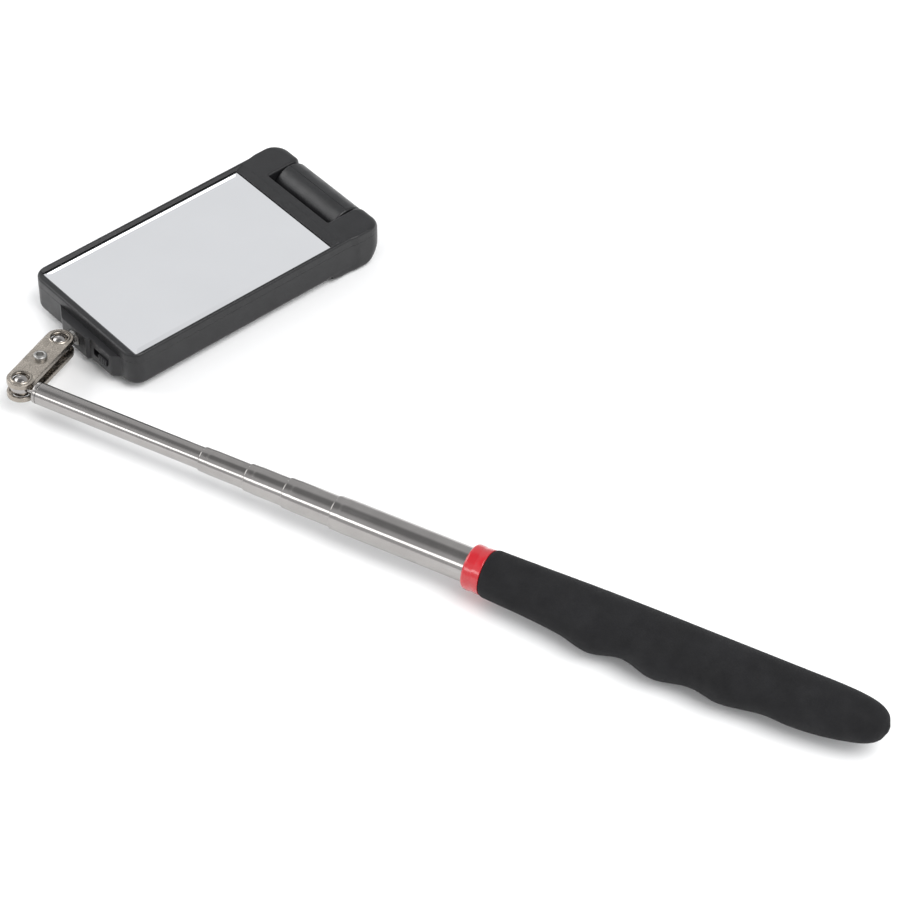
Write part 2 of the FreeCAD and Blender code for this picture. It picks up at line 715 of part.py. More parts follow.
def rear_case():
    """The rear shell: hollow, ribbed, with ears, screw bosses, battery well, stem hub and switch slot."""
    blank = fuse("rear_case_blank", main_block(), lamp_block())
    wall, floor, top = D["case_wall"], D["case_floor"], D["parting_height"]
    half = cavity_half()
    above = (floor, top + 1)
    hollow = box("rear_case_hollow", (D["case_start"] + wall, D["recess_start"] - wall), (-half, half), above)
    ear_x = (D["recess_start"] + 1, D["case_end"] - wall * 2)
    ear_near, ear_far = D["ear_gap"] + wall * 1.75, D["ear_half"] - D["ear_round"]
    ear_spans = ((ear_near, ear_far), (-ear_far, -ear_near))
    ear_hollows = [box(f"rear_case_ear_{i}", ear_x, y, above) for i, y in enumerate(ear_spans)]
    shell = cut("rear_case_hollowed", blank, hollow, *ear_hollows)

    rib_height = (floor - D["overlap"], tray_bottom())
    additions = []
    for index in (1, 2):
        start = D[f"rib_{index}"]
        across = (-half - D["overlap"], half + D["overlap"])
        additions.append(box(f"rear_case_rib_{index}", (start, start + D["rib_thickness"]), across, rib_height))
    for index, side in enumerate((1, -1)):
        place = (D["boss_x"], D["boss_y"] * side, floor - D["overlap"])
        height = top - floor + D["overlap"]
        additions.append(cylinder(f"rear_case_boss_{index}", "z", place, D["boss_radius"], height))
    door_boss = (D["door_screw_x"], 0, floor - D["overlap"])
    boss_height = D["door_boss_top"] - floor + D["overlap"]
    additions.append(cylinder("rear_case_door_boss", "z", door_boss, D["door_boss_radius"], boss_height))
    solid = fuse("rear_case_solid", shell, *additions)

    middle = D["cell_x"]
    well = D["well_half"]
    tools = [
        box("rear_case_door_recess", (D["door_start"], D["door_end"]), (-D["door_half"], D["door_half"]),
            (-1, D["door_seat"])),
        box("rear_case_well", (middle - well, middle + well), (-well, well), (0, floor + 1)),
        cylinder("rear_case_door_hole", "z", (D["door_screw_x"], 0, 0), D["door_screw_radius"], D["door_boss_top"] + 1),
        cylinder("rear_case_stem_hole", "x", (0, 0, D["stem_height"]), D["bush_radius"], D["bush_end"]),
        box("rear_case_switch_slot", (0, D["case_start"] + wall + 1),
            (D["switch_y"] - D["switch_slot"], D["switch_y"] + D["switch_slot"]),
            (D["stem_height"] - D["switch_slot_height"], D["stem_height"] + D["switch_slot_height"])),
        cylinder("rear_case_pivot_hole", "y", (D["barrel_x"], -(D["pivot_end"] + 0.6), D["barrel_z"]),
                 D["pivot_radius"] + D["running_gap"], (D["pivot_end"] + 0.6) * 2),
    ]
    for index, side in enumerate((1, -1)):
        x, y = D["boss_x"], D["boss_y"] * side
        hole_radius = D["case_screw_radius"] + 0.1
        tools.append(cylinder(f"rear_case_screw_hole_{index}", "z", (x, y, -1), hole_radius, top + 2))
        seat_height = D["case_screw_seat"] + 1
        seat_radius = D["case_screw_head"] + 0.2
        tools.append(cylinder(f"rear_case_screw_seat_{index}", "z", (x, y, -1), seat_radius, seat_height))
    return cut("rear_case", solid, *tools)


def front_bezel():
    """The front frame: a window with a sloped reveal, a lip over the glass, and a strip towards the lamp."""
    height = D["case_height"] - D["parting_height"]
    body, last = block("front_bezel_blank", lamp_outline(D["case_start"]), D["parting_height"], height)
    last = round_ear_corners(body, round_stem_corners(body, last))
    top = D["case_height"].value
    round_edges(body, "front_bezel_top", last, D["top_round"], lambda edge: lies_at(edge, top))
    nosed = round_nosed("front_bezel_nosed", body)
    start, half, lip = D["window_start"], D["window_half"], D["glass_lip"]
    end = start + D["window_length"]
    seat_top = D["case_height"] - D["glass_recess"]
    margin = lip + D["fit_gap"] * 0.5
    seat = box("front_bezel_seat", (start - margin, end + margin), (-half - margin, half + margin),
               (D["parting_height"] - 1, seat_top))
    holes = []
    for index, side in enumerate((1, -1)):
        base = (D["boss_x"], D["boss_y"] * side, D["parting_height"] - 1)
        depth = D["case_screw_tip"] - D["parting_height"] + 1 + D["fit_gap"]
        holes.append(cylinder(f"front_bezel_screw_hole_{index}", "z", base, D["case_screw_radius"], depth))
    return cut("front_bezel", nosed, window_reveal("front_bezel_window"), seat, *holes)


def window_reveal(name):
    """The window's opening: as large as the visible glass below and wider at the bezel's top."""
    body = doc.addObject("PartDesign::Body", name)
    start, half, slope = D["window_start"], D["window_half"], D["reveal"]
    end = start + D["window_length"]
    low = new_sketch(body, f"{name}_low", height=D["case_height"] - D["glass_recess"])
    polygon(low, [(start, -half), (end, -half), (end, half), (start, half)])
    high = new_sketch(body, f"{name}_high", height=D["case_height"])
    near, far, side = start - slope, end + D["lamp_reveal"], half + slope
    polygon(high, [(near, -side), (far, -side), (far, side), (near, side)])
    loft = body.newObject("PartDesign::AdditiveLoft", f"{name}_loft")
    loft.Profile = low
    loft.Sections = [high]
    loft.Ruled = True
    return body


def mirror_glass():
    """The mirror plate, whose rim sits under the bezel's lip."""
    start, half, lip = D["window_start"], D["window_half"], D["glass_lip"]
    top = D["case_height"] - D["glass_recess"]
    x = (start - lip, start + D["window_length"] + lip)
    plate = box("mirror_glass_plate", x, (-half - lip, half + lip), (top - D["glass_thickness"], top))
    return group("mirror_glass", plate)


def mirror_pad():
    """The foam sheet between glass and tray."""
    start, half = D["window_start"], D["window_half"]
    top = D["case_height"] - D["glass_recess"] - D["glass_thickness"]
    x = (start, start + D["window_length"])
    return group("mirror_pad", box("mirror_pad_sheet", x, (-half, half), (D["parting_height"], top)))


def mirror_tray():
    """The tray that carries pad and glass and presses on the battery contact."""
    gap = D["fit_gap"]
    half = cavity_half() - gap
    x = (D["case_start"] + D["case_wall"] + gap, D["boss_x"] - D["boss_radius"] - gap)
    plate = box("mirror_tray_plate", x, (-half, half), (tray_bottom(), D["parting_height"]))
    return group("mirror_tray", plate)


def head_stem():
    """The stem: ball, neck and shaft in one."""
    return fuse(
        "head_stem",
        sphere("head_stem_ball", (0, 0, D["stem_height"]), D["ball_radius"]),
        cylinder("head_stem_shaft", "x", (0, 0, D["stem_height"]), D["neck_radius"], D["stem_end"]),
    )


def ring(name, start, length, outside, inside):
    """A ring about the stem axis."""
    blank = cylinder(f"{name}_blank", "x", (start, 0, D["stem_height"]), outside, length)
    hole = cylinder(f"{name}_hole", "x", (start - 1, 0, D["stem_height"]), inside, length + 2)
    return cut(name, blank, hole)


def case_screws():
    """Two pan-head screws that hold the bezel to the rear case."""
    screws = []
    for index, side in enumerate((1, -1)):
        x, y = D["boss_x"], D["boss_y"] * side
        seat = D["case_screw_seat"]
        head_height = D["case_screw_head_height"]
        head_base = (x, y, seat - head_height)
        head = cylinder(f"case_screw_head_{index}", "z", head_base, D["case_screw_head"], head_height)
        shank_base = (x, y, seat - D["overlap"])
        shank = cylinder(f"case_screw_shank_{index}", "z", shank_base, D["case_screw_radius"],
                         D["case_screw_tip"] - seat + D["overlap"])
        screws.append(fuse(f"case_screw_{index}", head, shank))
    return group("case_screws", *screws)


def battery_door():
    """The flush cover of the battery well, with a countersunk screw hole."""
    gap = D["fit_gap"] * 0.75
    x = (D["door_start"] + gap, D["door_end"] - gap)
    half = D["door_half"] - gap
    plate = box("battery_door_plate", x, (-half, half), (D["door_face"], D["door_seat"]))
    hole = door_screw_shape("battery_door_hole")
    return cut("battery_door", plate, hole)


def door_screw_shape(name):
    """A countersunk screw, head down, used for the screw and for its hole in the door."""
    place = (D["door_screw_x"], 0, D["door_face"])
    radius = D["door_screw_radius"]
    head = cone(f"{name}_head", "z", place, D["door_screw_head"], radius, D["door_screw_head_height"])
    shank = cylinder(f"{name}_shank", "z", place, radius, D["door_screw_length"])
    return fuse(name, head, shank)


def coin_cells():
    """Two stacked coin cells."""
    cells = []
    for index in (0, 1):
        base = D["cell_base"] + D["cell_height"] * index
        centre = (D["cell_x"], 0, base)
        cells.append(cylinder(f"coin_cell_{index}", "z", centre, D["cell_radius"], D["cell_height"]))
    return group("coin_cells", *cells)


def battery_spring():
    """The bent leaf between door and lower cell."""
    x, half, thick = D["cell_x"], D["contact_half"], D["contact_thickness"]
    low, top = D["door_seat"], D["cell_base"]
    end = x + D["spring_half"]
    foot = box("battery_spring_foot", (x - D["spring_half"], end), (-half, half), (low, low + thick))
    post = box("battery_spring_post", (end - thick, end), (-half, half), (low, top))
    leaf = box("battery_spring_leaf", (end - D["spring_leaf"], end), (-half, half), (top - thick, top))
    return fuse("battery_spring", foot, post, leaf)


def battery_plate():
    """The flat contact on the upper cell."""
    x, half, reach = D["cell_x"], D["contact_half"], D["plate_half"]
    base = D["cell_base"] + D["cell_height"] * 2
    strip_z = (base, base + D["contact_thickness"])
    return group("battery_plate", box("battery_plate_strip", (x - reach, x + reach), (-half, half), strip_z))


def switch_body():
    """The slide switch behind the end wall."""
    start = D["case_start"] + D["case_wall"]
    y = (D["switch_y"] - D["switch_half"], D["switch_y"] + D["switch_half"])
    z = (D["stem_height"] - D["switch_half_height"], D["stem_height"] + D["switch_half_height"])
    case = box("switch_body_case", (start, start + D["switch_depth"]), y, z)
    slot_y = (D["switch_y"] - D["switch_slot"], D["switch_y"] + D["switch_slot"])
    slot_z = (D["stem_height"] - D["switch_slot_height"], D["stem_height"] + D["switch_slot_height"])
    slot = box("switch_body_slot", (start - 1, start + D["switch_track"]), slot_y, slot_z)
    return cut("switch_body", case, slot)


def switch_knob():
    """The knob in the slot, at the off end of its travel."""
    inner = D["case_start"] + D["case_wall"] + D["switch_track"] - D["fit_gap"]
    low_end = D["switch_y"] - D["switch_slot"] + D["fit_gap"]
    z_half = D["switch_slot_height"] - D["fit_gap"]
    x, y = (D["switch_wall"] - D["knob_proud"], inner), (low_end, low_end + D["knob_half"] * 2)
    z = (D["stem_height"] - z_half, D["stem_height"] + z_half)
    return group("switch_knob", box("switch_knob_block", x, y, z))


def barrel_tube(name, outside, inside, half, end_wall):
    """A closed drum on the lamp axis with the given wall and end walls."""
    x, z = D["barrel_x"], D["barrel_z"]
    drum = cylinder(f"{name}_drum", "y", (x, -half, z), outside, half * 2)
    inner_half = half - end_wall
    hollow = cylinder(f"{name}_hollow", "y", (x, -inner_half, z), inside, inner_half * 2)
    return cut(name, drum, hollow)


def barrel_half(name, x, with_window):
    """One half of the lamp barrel; the front half has the lamp window's opening."""
    radius, wall, half = D["barrel_radius"], D["barrel_wall"], D["barrel_half"]
    drum = barrel_tube(f"{name}_tube", radius, radius - wall, half, D["barrel_end_wall"])
    z = (D["barrel_z"] - radius - 1, D["barrel_z"] + radius + 1)
    side = box(f"{name}_side", x, (-half - 1, half + 1), z)
    shell = common(f"{name}_shell", drum, side)
    pin_start = (D["barrel_x"], -half - 1, D["barrel_z"])
    pin = cylinder(f"{name}_pin_hole", "y", pin_start, D["pivot_radius"], (half + 1) * 2)
    if not with_window:
        return cut(name, shell, pin)
    return cut(name, shell, pin, window_block(f"{name}_opening", 0))


def window_block(name, gap):
    """The block that the lamp window fills, smaller all round by gap."""
    half, tall = D["lamp_half"] - gap, D["lamp_half_height"] - gap
    x = (D["barrel_x"] + D["lamp_opening"], D["barrel_x"] + D["barrel_radius"] + 2)
    return box(name, x, (-half, half), (D["barrel_z"] - tall, D["barrel_z"] + tall))


def lamp_window():
    """The clear window, curved with the barrel."""
    outside = D["barrel_radius"] - D["lamp_sunk"]
    inside = outside - D["lamp_window_wall"]
    curve = barrel_tube("lamp_window_tube", outside, inside, D["barrel_half"], D["barrel_end_wall"])
    return common("lamp_window", curve, window_block("lamp_window_block", D["running_gap"]))


def lamp_board():
    """The LED board across the barrel."""
    x = (D["board_x"], D["board_x"] + D["board_thickness"])
    half, tall = D["board_half"], D["board_half_height"]
    z = (D["barrel_z"] - tall, D["barrel_z"] + tall)
    return group("lamp_board", box("lamp_board_sheet", x, (-half, half), z))


def lamp_leds():
    """Two domed LEDs on the board."""
    start = D["board_x"] + D["board_thickness"]
    leds = []
    for index, side in enumerate((1, -1)):
        y = D["led_y"] * side
        can = D["led_can"]
        stem = cylinder(f"lamp_led_can_{index}", "x", (start, y, D["barrel_z"]), D["led_radius"], can)
        dome = sphere(f"lamp_led_dome_{index}", (start + can, y, D["barrel_z"]), D["led_radius"])
        leds.append(fuse(f"lamp_led_{index}", stem, dome))
    return group("lamp_leds", *leds)


def lamp_pivots():
    """The two pins on which the barrel tilts."""
    inner = D["barrel_half"] - D["barrel_end_wall"]
    length = D["pivot_end"] - inner
    x, z = D["barrel_x"], D["barrel_z"]
    pins = [
        cylinder("lamp_pivot_far", "y", (x, inner, z), D["pivot_radius"], length),
        cylinder("lamp_pivot_near", "y", (x, -D["pivot_end"], z), D["pivot_radius"], length),
    ]
    return group("lamp_pivots", *pins)


# ---------------------------------------------------------------- assembly


def group_placements():
    """Placements of the mast, the link and the head, from the driving dimensions."""
    origin = Vector(D["origin_x"].value, D["origin_y"].value, 0)
    up = Vector(0, 0, 1)
    ball = Vector(0, 0, D["mast_height"].value) - origin
    drop = D["mast_height"].value - D["stem_height"].value
    tilt = math.degrees(math.asin(drop / D["ball_spacing"].value))
    link_turn = Rotation(up, D["link_angle"].value) * Rotation(Vector(0, 1, 0), tilt)
    stem = ball + link_turn.multVec(Vector(D["ball_spacing"].value, 0, 0))
    mast = Placement(ball, Rotation())
    link = Placement(ball, link_turn)
    head = Placement(Vector(stem.x, stem.y, 0), Rotation(up, D["head_angle"].value))
    return mast, link, head


def build():
    """Every sub-part, at its group's Placement."""
    mast, link, head = group_placements()
    plate_base = D["plate_gap"] * 0.5
    mast_parts = [grip(), grip_collar(), handle_plug(), mast_ball()]
    mast_parts += [mast_tube(number) for number in TUBES]
    mast_parts += [guide_bush(number) for number in TUBES[1:]]
    link_parts = [
        link_plate("link_plate_top", plate_base),
        link_plate("link_plate_bottom", -(plate_base + D["plate_thickness"])),
        link_screw(),
        link_nut(),
    ]
    bush_length = D["bush_end"] - D["hub_start"]
    head_parts = [
        rear_case(),
        front_bezel(),
        mirror_glass(),
        mirror_pad(),
        mirror_tray(),
        head_stem(),
        ring("stem_bush", D["hub_start"], bush_length, D["bush_radius"], D["neck_radius"] + D["running_gap"]),
        ring("stem_retainer", D["retainer_start"], D["retainer_length"], D["retainer_radius"], D["neck_radius"]),
        case_screws(),
        battery_door(),
        door_screw_shape("door_screw"),
        coin_cells(),
        battery_spring(),
        battery_plate(),
        switch_body(),
        switch_knob(),
        barrel_half("lamp_barrel_front", (D["barrel_x"], D["barrel_x"] + D["barrel_radius"] + 1), True),
        barrel_half("lamp_barrel_rear", (D["barrel_x"] - D["barrel_radius"] - 1, D["barrel_x"]), False),
        lamp_window(),
        lamp_board(),
        lamp_leds(),
        lamp_pivots(),
    ]
    doc.recompute()
    for parts, place in ((mast_parts, mast), (link_parts, link), (head_parts, head)):
        for part in parts:
            part.Placement = place.multiply(part.Placement)
    doc.recompute()
    return mast_parts + link_parts + head_parts


def check(parts):
    """Stop on any failed object, and on any sub-part without a sound, solid shape."""
    for obj in doc.Objects:
        if "Invalid" in obj.State or "Error" in obj.State:
            raise RuntimeError(f"{obj.Name} failed: {obj.State}")
    for part in parts:
        if part.Shape.isNull() or not part.Shape.isValid() or part.Shape.Volume <= 0:
            raise RuntimeError(f"{part.Label} has no sound shape")


os.makedirs("parts", exist_ok=True)
sub_parts = build()
check(sub_parts)
whole = FreeCAD.BoundBox()
for part in sub_parts:
    part.Shape.exportStep(f"parts/{part.Label}.step")
    whole.add(part.Shape.BoundBox)
print("parts", len(sub_parts))
extremes = (whole.XMin, whole.XMax, whole.YMin, whole.YMax, whole.ZMin, whole.ZMax)
print("box", [round(v, 2) for v in extremes])
for name, place in zip(("mast ball", "link", "head"), group_placements()):
    up = place.Rotation.multVec(Vector(0, 0, 1))
    print(name, [round(v, 3) for v in place.Base], [round(v, 5) for v in up])
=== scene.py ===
"""Visual model of a telescoping inspection mirror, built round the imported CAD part.

Shapes are drawn in millimetres in the frame of their group (mast, link, head or lamp), which comes from
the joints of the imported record, and are then placed in the part's own frame in metres.
"""

import json
import math

import bmesh
import bpy
from mathutils import Matrix, Vector


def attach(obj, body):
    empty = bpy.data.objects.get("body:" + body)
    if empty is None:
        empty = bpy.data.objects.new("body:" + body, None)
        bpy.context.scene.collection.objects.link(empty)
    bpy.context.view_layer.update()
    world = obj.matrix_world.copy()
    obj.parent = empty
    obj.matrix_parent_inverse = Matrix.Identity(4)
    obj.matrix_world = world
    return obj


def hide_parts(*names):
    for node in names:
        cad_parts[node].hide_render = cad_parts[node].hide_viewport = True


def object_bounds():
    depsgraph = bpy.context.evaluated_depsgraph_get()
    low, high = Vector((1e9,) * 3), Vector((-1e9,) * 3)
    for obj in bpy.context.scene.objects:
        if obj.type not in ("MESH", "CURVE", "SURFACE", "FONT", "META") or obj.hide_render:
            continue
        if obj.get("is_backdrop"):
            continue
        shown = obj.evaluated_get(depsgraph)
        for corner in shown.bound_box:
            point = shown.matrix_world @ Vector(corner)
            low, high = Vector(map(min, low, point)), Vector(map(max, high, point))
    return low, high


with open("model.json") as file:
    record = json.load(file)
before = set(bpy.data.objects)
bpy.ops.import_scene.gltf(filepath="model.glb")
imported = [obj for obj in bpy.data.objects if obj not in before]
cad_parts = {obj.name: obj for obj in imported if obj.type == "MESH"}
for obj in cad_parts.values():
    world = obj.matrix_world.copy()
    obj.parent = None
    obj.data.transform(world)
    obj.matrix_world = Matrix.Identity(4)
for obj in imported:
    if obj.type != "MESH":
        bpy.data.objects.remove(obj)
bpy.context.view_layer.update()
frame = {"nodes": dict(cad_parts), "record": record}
MM = 0.001

# ---------------------------------------------------------------- frames and places from the CAD

JOINTS = {joint["name"]: joint for joint in frame["record"]["behaviour"]["joints"]}
UP = Vector((0, 0, 1))


def axes_at(origin, along, up):
    """A frame whose X runs along and whose Z is as near to up as that allows, scaled to millimetres."""
    x = along.normalized()
    z = (up - x * up.dot(x)).normalized()
    place = Matrix((x, z.cross(x), z)).transposed().to_4x4()
    place.translation = origin
    return place @ Matrix.Scale(MM, 4)


def joint_point(name):
    return Vector(JOINTS[name]["pos_m"])


def joint_axis(name):
    return Vector(JOINTS[name]["axis"])


mast_ball, stem_ball = joint_point("mast_ball_swivel"), joint_point("head_turn")
MAST = axes_at(mast_ball, Vector((1, 0, 0)), UP)
LINK = axes_at(mast_ball, stem_ball - mast_ball, joint_axis("link_swing"))
HEAD = axes_at(Vector((stem_ball.x, stem_ball.y, 0)), joint_axis("head_turn"), UP)
LAMP = axes_at(joint_point("lamp_tilt"), joint_axis("head_turn"), UP)


class Span:
    """The bounds of a CAD node in a group's frame, in millimetres."""

    def __init__(self, node, place):
        inverse = place.inverted()
        points = [inverse @ vertex.co for vertex in frame["nodes"][node].data.vertices]
        self.low = Vector([min(p[i] for p in points) for i in range(3)])
        self.high = Vector([max(p[i] for p in points) for i in range(3)])
        self.size = self.high - self.low
        self.middle = (self.high + self.low) / 2


# ---------------------------------------------------------------- plane outlines


def arc(centre, radius, start, end, steps):
    """Points on an arc, angles in degrees."""
    angles = [math.radians(start + (end - start) * i / steps) for i in range(steps + 1)]
    return [(centre[0] + radius * math.cos(a), centre[1] + radius * math.sin(a)) for a in angles]


def rounded(corners, steps=8):
    """An outline from (x, y, radius) corners, each rounded by its radius."""
    outline = []
    count = len(corners)
    for i, (x, y, radius) in enumerate(corners):
        here = Vector((x, y))
        before = (Vector(corners[i - 1][:2]) - here).normalized()
        after = (Vector(corners[(i + 1) % count][:2]) - here).normalized()
        if radius == 0:
            outline.append((x, y))
            continue
        half = before.angle(after) / 2
        reach = radius / math.tan(half)
        centre = here + (before + after).normalized() * (radius / math.sin(half))
        first, last = here + before * reach - centre, here + after * reach - centre
        turn = first.angle_signed(last)
        for step in range(steps + 1):
            spoke = first.copy()
            spoke.rotate(Matrix.Rotation(-turn * step / steps, 2))
            outline.append(tuple(centre + spoke))
    return outline


SHARPEST_MITRE = 0.4


def inset(outline, depth):
    """The outline moved inwards by depth, whichever way round it runs."""
    points = [Vector(p) for p in outline]
    area = sum(a.x * b.y - b.x * a.y for a, b in zip(points, points[1:] + points[:1]))
    side = 1 if area > 0 else -1
    moved = []
    for i, point in enumerate(points):
        ahead = (points[(i + 1) % len(points)] - point).normalized()
        behind = (point - points[i - 1]).normalized()
        normal = Vector((-ahead.y - behind.y, ahead.x + behind.x)).normalized() * side
        mitre = max(SHARPEST_MITRE, Vector((-ahead.y, ahead.x)).dot(normal) * side)
        moved.append(tuple(point + normal * depth / mitre))
    return moved


def mirrored(half):
    """All the corners of an outline from those of its +Y half."""
    return half + [(x, -y, radius) for x, y, radius in reversed(half)]


def rectangle(x, y, radius):
    """Corners of a rectangle between the bounds x and y."""
    return [(x[0], y[0], radius), (x[1], y[0], radius), (x[1], y[1], radius), (x[0], y[1], radius)]


# ---------------------------------------------------------------- meshes

WELD = 1e-7
ON_AXIS = 1e-6
BLOCK_CORNER = 1.4


def mesh_piece(name, place, vertices, faces):
    """An object from vertices in a group's frame, with outward normals."""
    mesh = bpy.data.meshes.new(name)
    mesh.from_pydata([place @ Vector(v) for v in vertices], [], faces)
    shape = bmesh.new()
    shape.from_mesh(mesh)
    bmesh.ops.remove_doubles(shape, verts=shape.verts, dist=WELD)
    bmesh.ops.recalc_face_normals(shape, faces=shape.faces)
    shape.to_mesh(mesh)
    shape.free()
    piece = bpy.data.objects.new(name, mesh)
    bpy.context.scene.collection.objects.link(piece)
    return piece


def lathe(name, place, profile, axis="x", closed=True, segments=96, start=0.0, lean=None):
    """A turned piece from (distance along the axis, radius) points. lean(i) moves the centre of ring i."""
    vertices, rings = [], []
    for index, (along, radius) in enumerate(profile):
        off = lean(index) if lean else (0, 0)
        ring = []
        for step in range(segments if radius > ON_AXIS else 1):
            angle = math.tau * step / segments + start
            a, b = off[0] + radius * math.cos(angle), off[1] + radius * math.sin(angle)
            ring.append(len(vertices))
            vertices.append({"x": (along, a, b), "y": (b, along, a), "z": (a, b, along)}[axis])
        rings.append(ring)
    faces = []
    following = rings[1:] + rings[:1] if closed else rings[1:]
    for near, far in zip(rings, following):
        for i in range(segments):
            j = (i + 1) % segments
            if len(near) == 1 and len(far) == 1:
                break
            if len(near) == 1:
                faces.append((near[0], far[j], far[i]))
            elif len(far) == 1:
                faces.append((near[i], near[j], far[0]))
            else:
                faces.append((near[i], near[j], far[j], far[i]))
    return mesh_piece(name, place, vertices, faces)


def stack(name, place, outlines, bend=None):
    """A closed solid through (height, outline) levels of equally many points. bend moves each point."""
    vertices, faces = [], []
    count = len(outlines[0][1])
    for height, outline in outlines:
        for x, y in outline:
            vertices.append(bend(x, y, height) if bend else (x, y, height))
    for level in range(len(outlines) - 1):
        base = level * count
        for i in range(count):
            j = (i + 1) % count
            faces.append((base + i, base + j, base + count + j, base + count + i))
    faces.append(tuple(reversed(range(count))))
    top = (len(outlines) - 1) * count
    faces.append(tuple(range(top, top + count)))
    return mesh_piece(name, place, vertices, faces)


def edge_levels(low, high, under, over, steps=6, between=1):
    """(height, inset) levels of a slab whose lower and upper edges are rounded by under and over."""
    turns = [math.radians(90 * step / steps) for step in range(steps + 1)]
    levels = [(low, 0)]
    if under:
        levels = [(low + under * (1 - math.cos(turn)), under * (1 - math.sin(turn))) for turn in turns]
    first, last = levels[-1][0], high - over
    levels += [(first + (last - first) * step / between, 0) for step in range(1, between + 1)]
    if over:
        levels += [(high - over * (1 - math.sin(turn)), over * (1 - math.cos(turn))) for turn in turns[1:]]
    return levels


def slab(name, place, outline, low, high, under=0.0, over=0.0, bend=None, between=1, steps=6):
    """A slab with a rounded outline and rounded lower and upper edges."""
    levels = edge_levels(low, high, under, over, steps, between)
    return stack(name, place, [(z, inset(outline, d) if d else outline) for z, d in levels], bend)


def block(name, place, low, high, radius, steps=3):
    """A box with rounded edges. Its plan's corners are rounder still, so that its insets stay open."""
    xs, ys, zs = zip(low, high)
    corners = rectangle(xs, ys, radius * BLOCK_CORNER)
    return slab(name, place, rounded(corners, steps), zs[0], zs[1], radius, radius, steps=steps)


def boolean(piece, operation, *tools):
    """Cut, join or intersect a piece with tools, and remove the tools."""
    for tool in tools:
        step = piece.modifiers.new(operation.lower(), "BOOLEAN")
        step.operation = operation
        step.solver = "EXACT"
        step.object = tool
    graph = bpy.context.evaluated_depsgraph_get()
    result = bpy.data.meshes.new_from_object(piece.evaluated_get(graph))
    piece.modifiers.clear()
    old = piece.data
    piece.data = result
    bpy.data.meshes.remove(old)
    for tool in tools:
        bpy.data.meshes.remove(tool.data)
    piece.data.name = piece.name
    if not result.polygons:
        raise RuntimeError(f"{piece.name}: nothing is left after {operation}")
    return piece


def joined(piece, *others):
    """One object from several separate shells."""
    shape = bmesh.new()
    shape.from_mesh(piece.data)
    for other in others:
        shape.from_mesh(other.data)
    shape.to_mesh(piece.data)
    shape.free()
    for other in others:
        bpy.data.meshes.remove(other.data)
    return piece


SHARP_ANGLE = math.radians(38)
NORMAL_WEIGHT = 80


def finish_piece(piece, body, slot, *nodes, sharp=SHARP_ANGLE):
    """Shade a piece, give it its slot and finish, and let it ride on its body in place of CAD nodes."""
    piece.data.polygons.foreach_set("use_smooth", [True] * len(piece.data.polygons))
    piece.data.set_sharp_from_angle(angle=sharp)
    even = piece.modifiers.new("even_normals", "WEIGHTED_NORMAL")
    even.keep_sharp = True
    even.weight = NORMAL_WEIGHT
    piece.data.materials.clear()
    piece.data.materials.append(MATERIALS[slot])
    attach(piece, body)
    if nodes:
        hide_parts(*nodes)


# ---------------------------------------------------------------- materials


class Nodes:
    """Short names for making and linking shader nodes."""

    def __init__(self, name):
        self.material = bpy.data.materials.new(name)
        self.material.use_nodes = True
        self.tree = self.material.node_tree
        self.shader = self.tree.nodes["Principled BSDF"]
        self.where = self.tree.nodes.new("ShaderNodeTexCoord").outputs["Object"]

    def link(self, output, target):
        self.tree.links.new(output, target)

    def noise(self, scale, detail=3.0, stretch=(1, 1, 1), roughness=0.5):
        mapping = self.tree.nodes.new("ShaderNodeMapping")
        mapping.inputs["Scale"].default_value = stretch
        self.link(self.where, mapping.inputs["Vector"])
        noise = self.tree.nodes.new("ShaderNodeTexNoise")
        noise.inputs["Scale"].default_value = scale
        noise.inputs["Detail"].default_value = detail
        noise.inputs["Roughness"].default_value = roughness
        self.link(mapping.outputs["Vector"], noise.inputs["Vector"])
        return noise.outputs["Fac"]

    def ramp(self, value, low, high, start=0.0, end=1.0):
        """Map value from low..high to start..end, clamped."""
        mapper = self.tree.nodes.new("ShaderNodeMapRange")
        for key, number in (("From Min", low), ("From Max", high), ("To Min", start), ("To Max", end)):
            mapper.inputs[key].default_value = number
        self.link(value, mapper.inputs["Value"])
        return mapper.outputs["Result"]

    def mix(self, factor, first, second):
        """Mix two colours by factor. Each is a tuple or another node's output."""
        mixer = self.tree.nodes.new("ShaderNodeMix")
        mixer.data_type = "RGBA"
        self.link(factor, mixer.inputs["Factor"])
        for value, target in ((first, mixer.inputs[6]), (second, mixer.inputs[7])):
            if isinstance(value, tuple):
                target.default_value = (*value, 1)
            else:
                self.link(value, target)
        return mixer.outputs[2]

    def add(self, first, second):
        adder = self.tree.nodes.new("ShaderNodeMath")
        adder.operation = "ADD"
        self.link(first, adder.inputs[0])
        self.link(second, adder.inputs[1])
        return adder.outputs["Value"]

    def bump(self, height, distance):
        bump = self.tree.nodes.new("ShaderNodeBump")
        bump.inputs["Strength"].default_value = 1.0
        bump.inputs["Distance"].default_value = distance
        self.link(height, bump.inputs["Height"])
        self.link(bump.outputs["Normal"], self.shader.inputs["Normal"])


def tinted(colour, factor):
    """A colour made lighter or darker."""
    return tuple(min(1.0, channel * factor) for channel in colour)


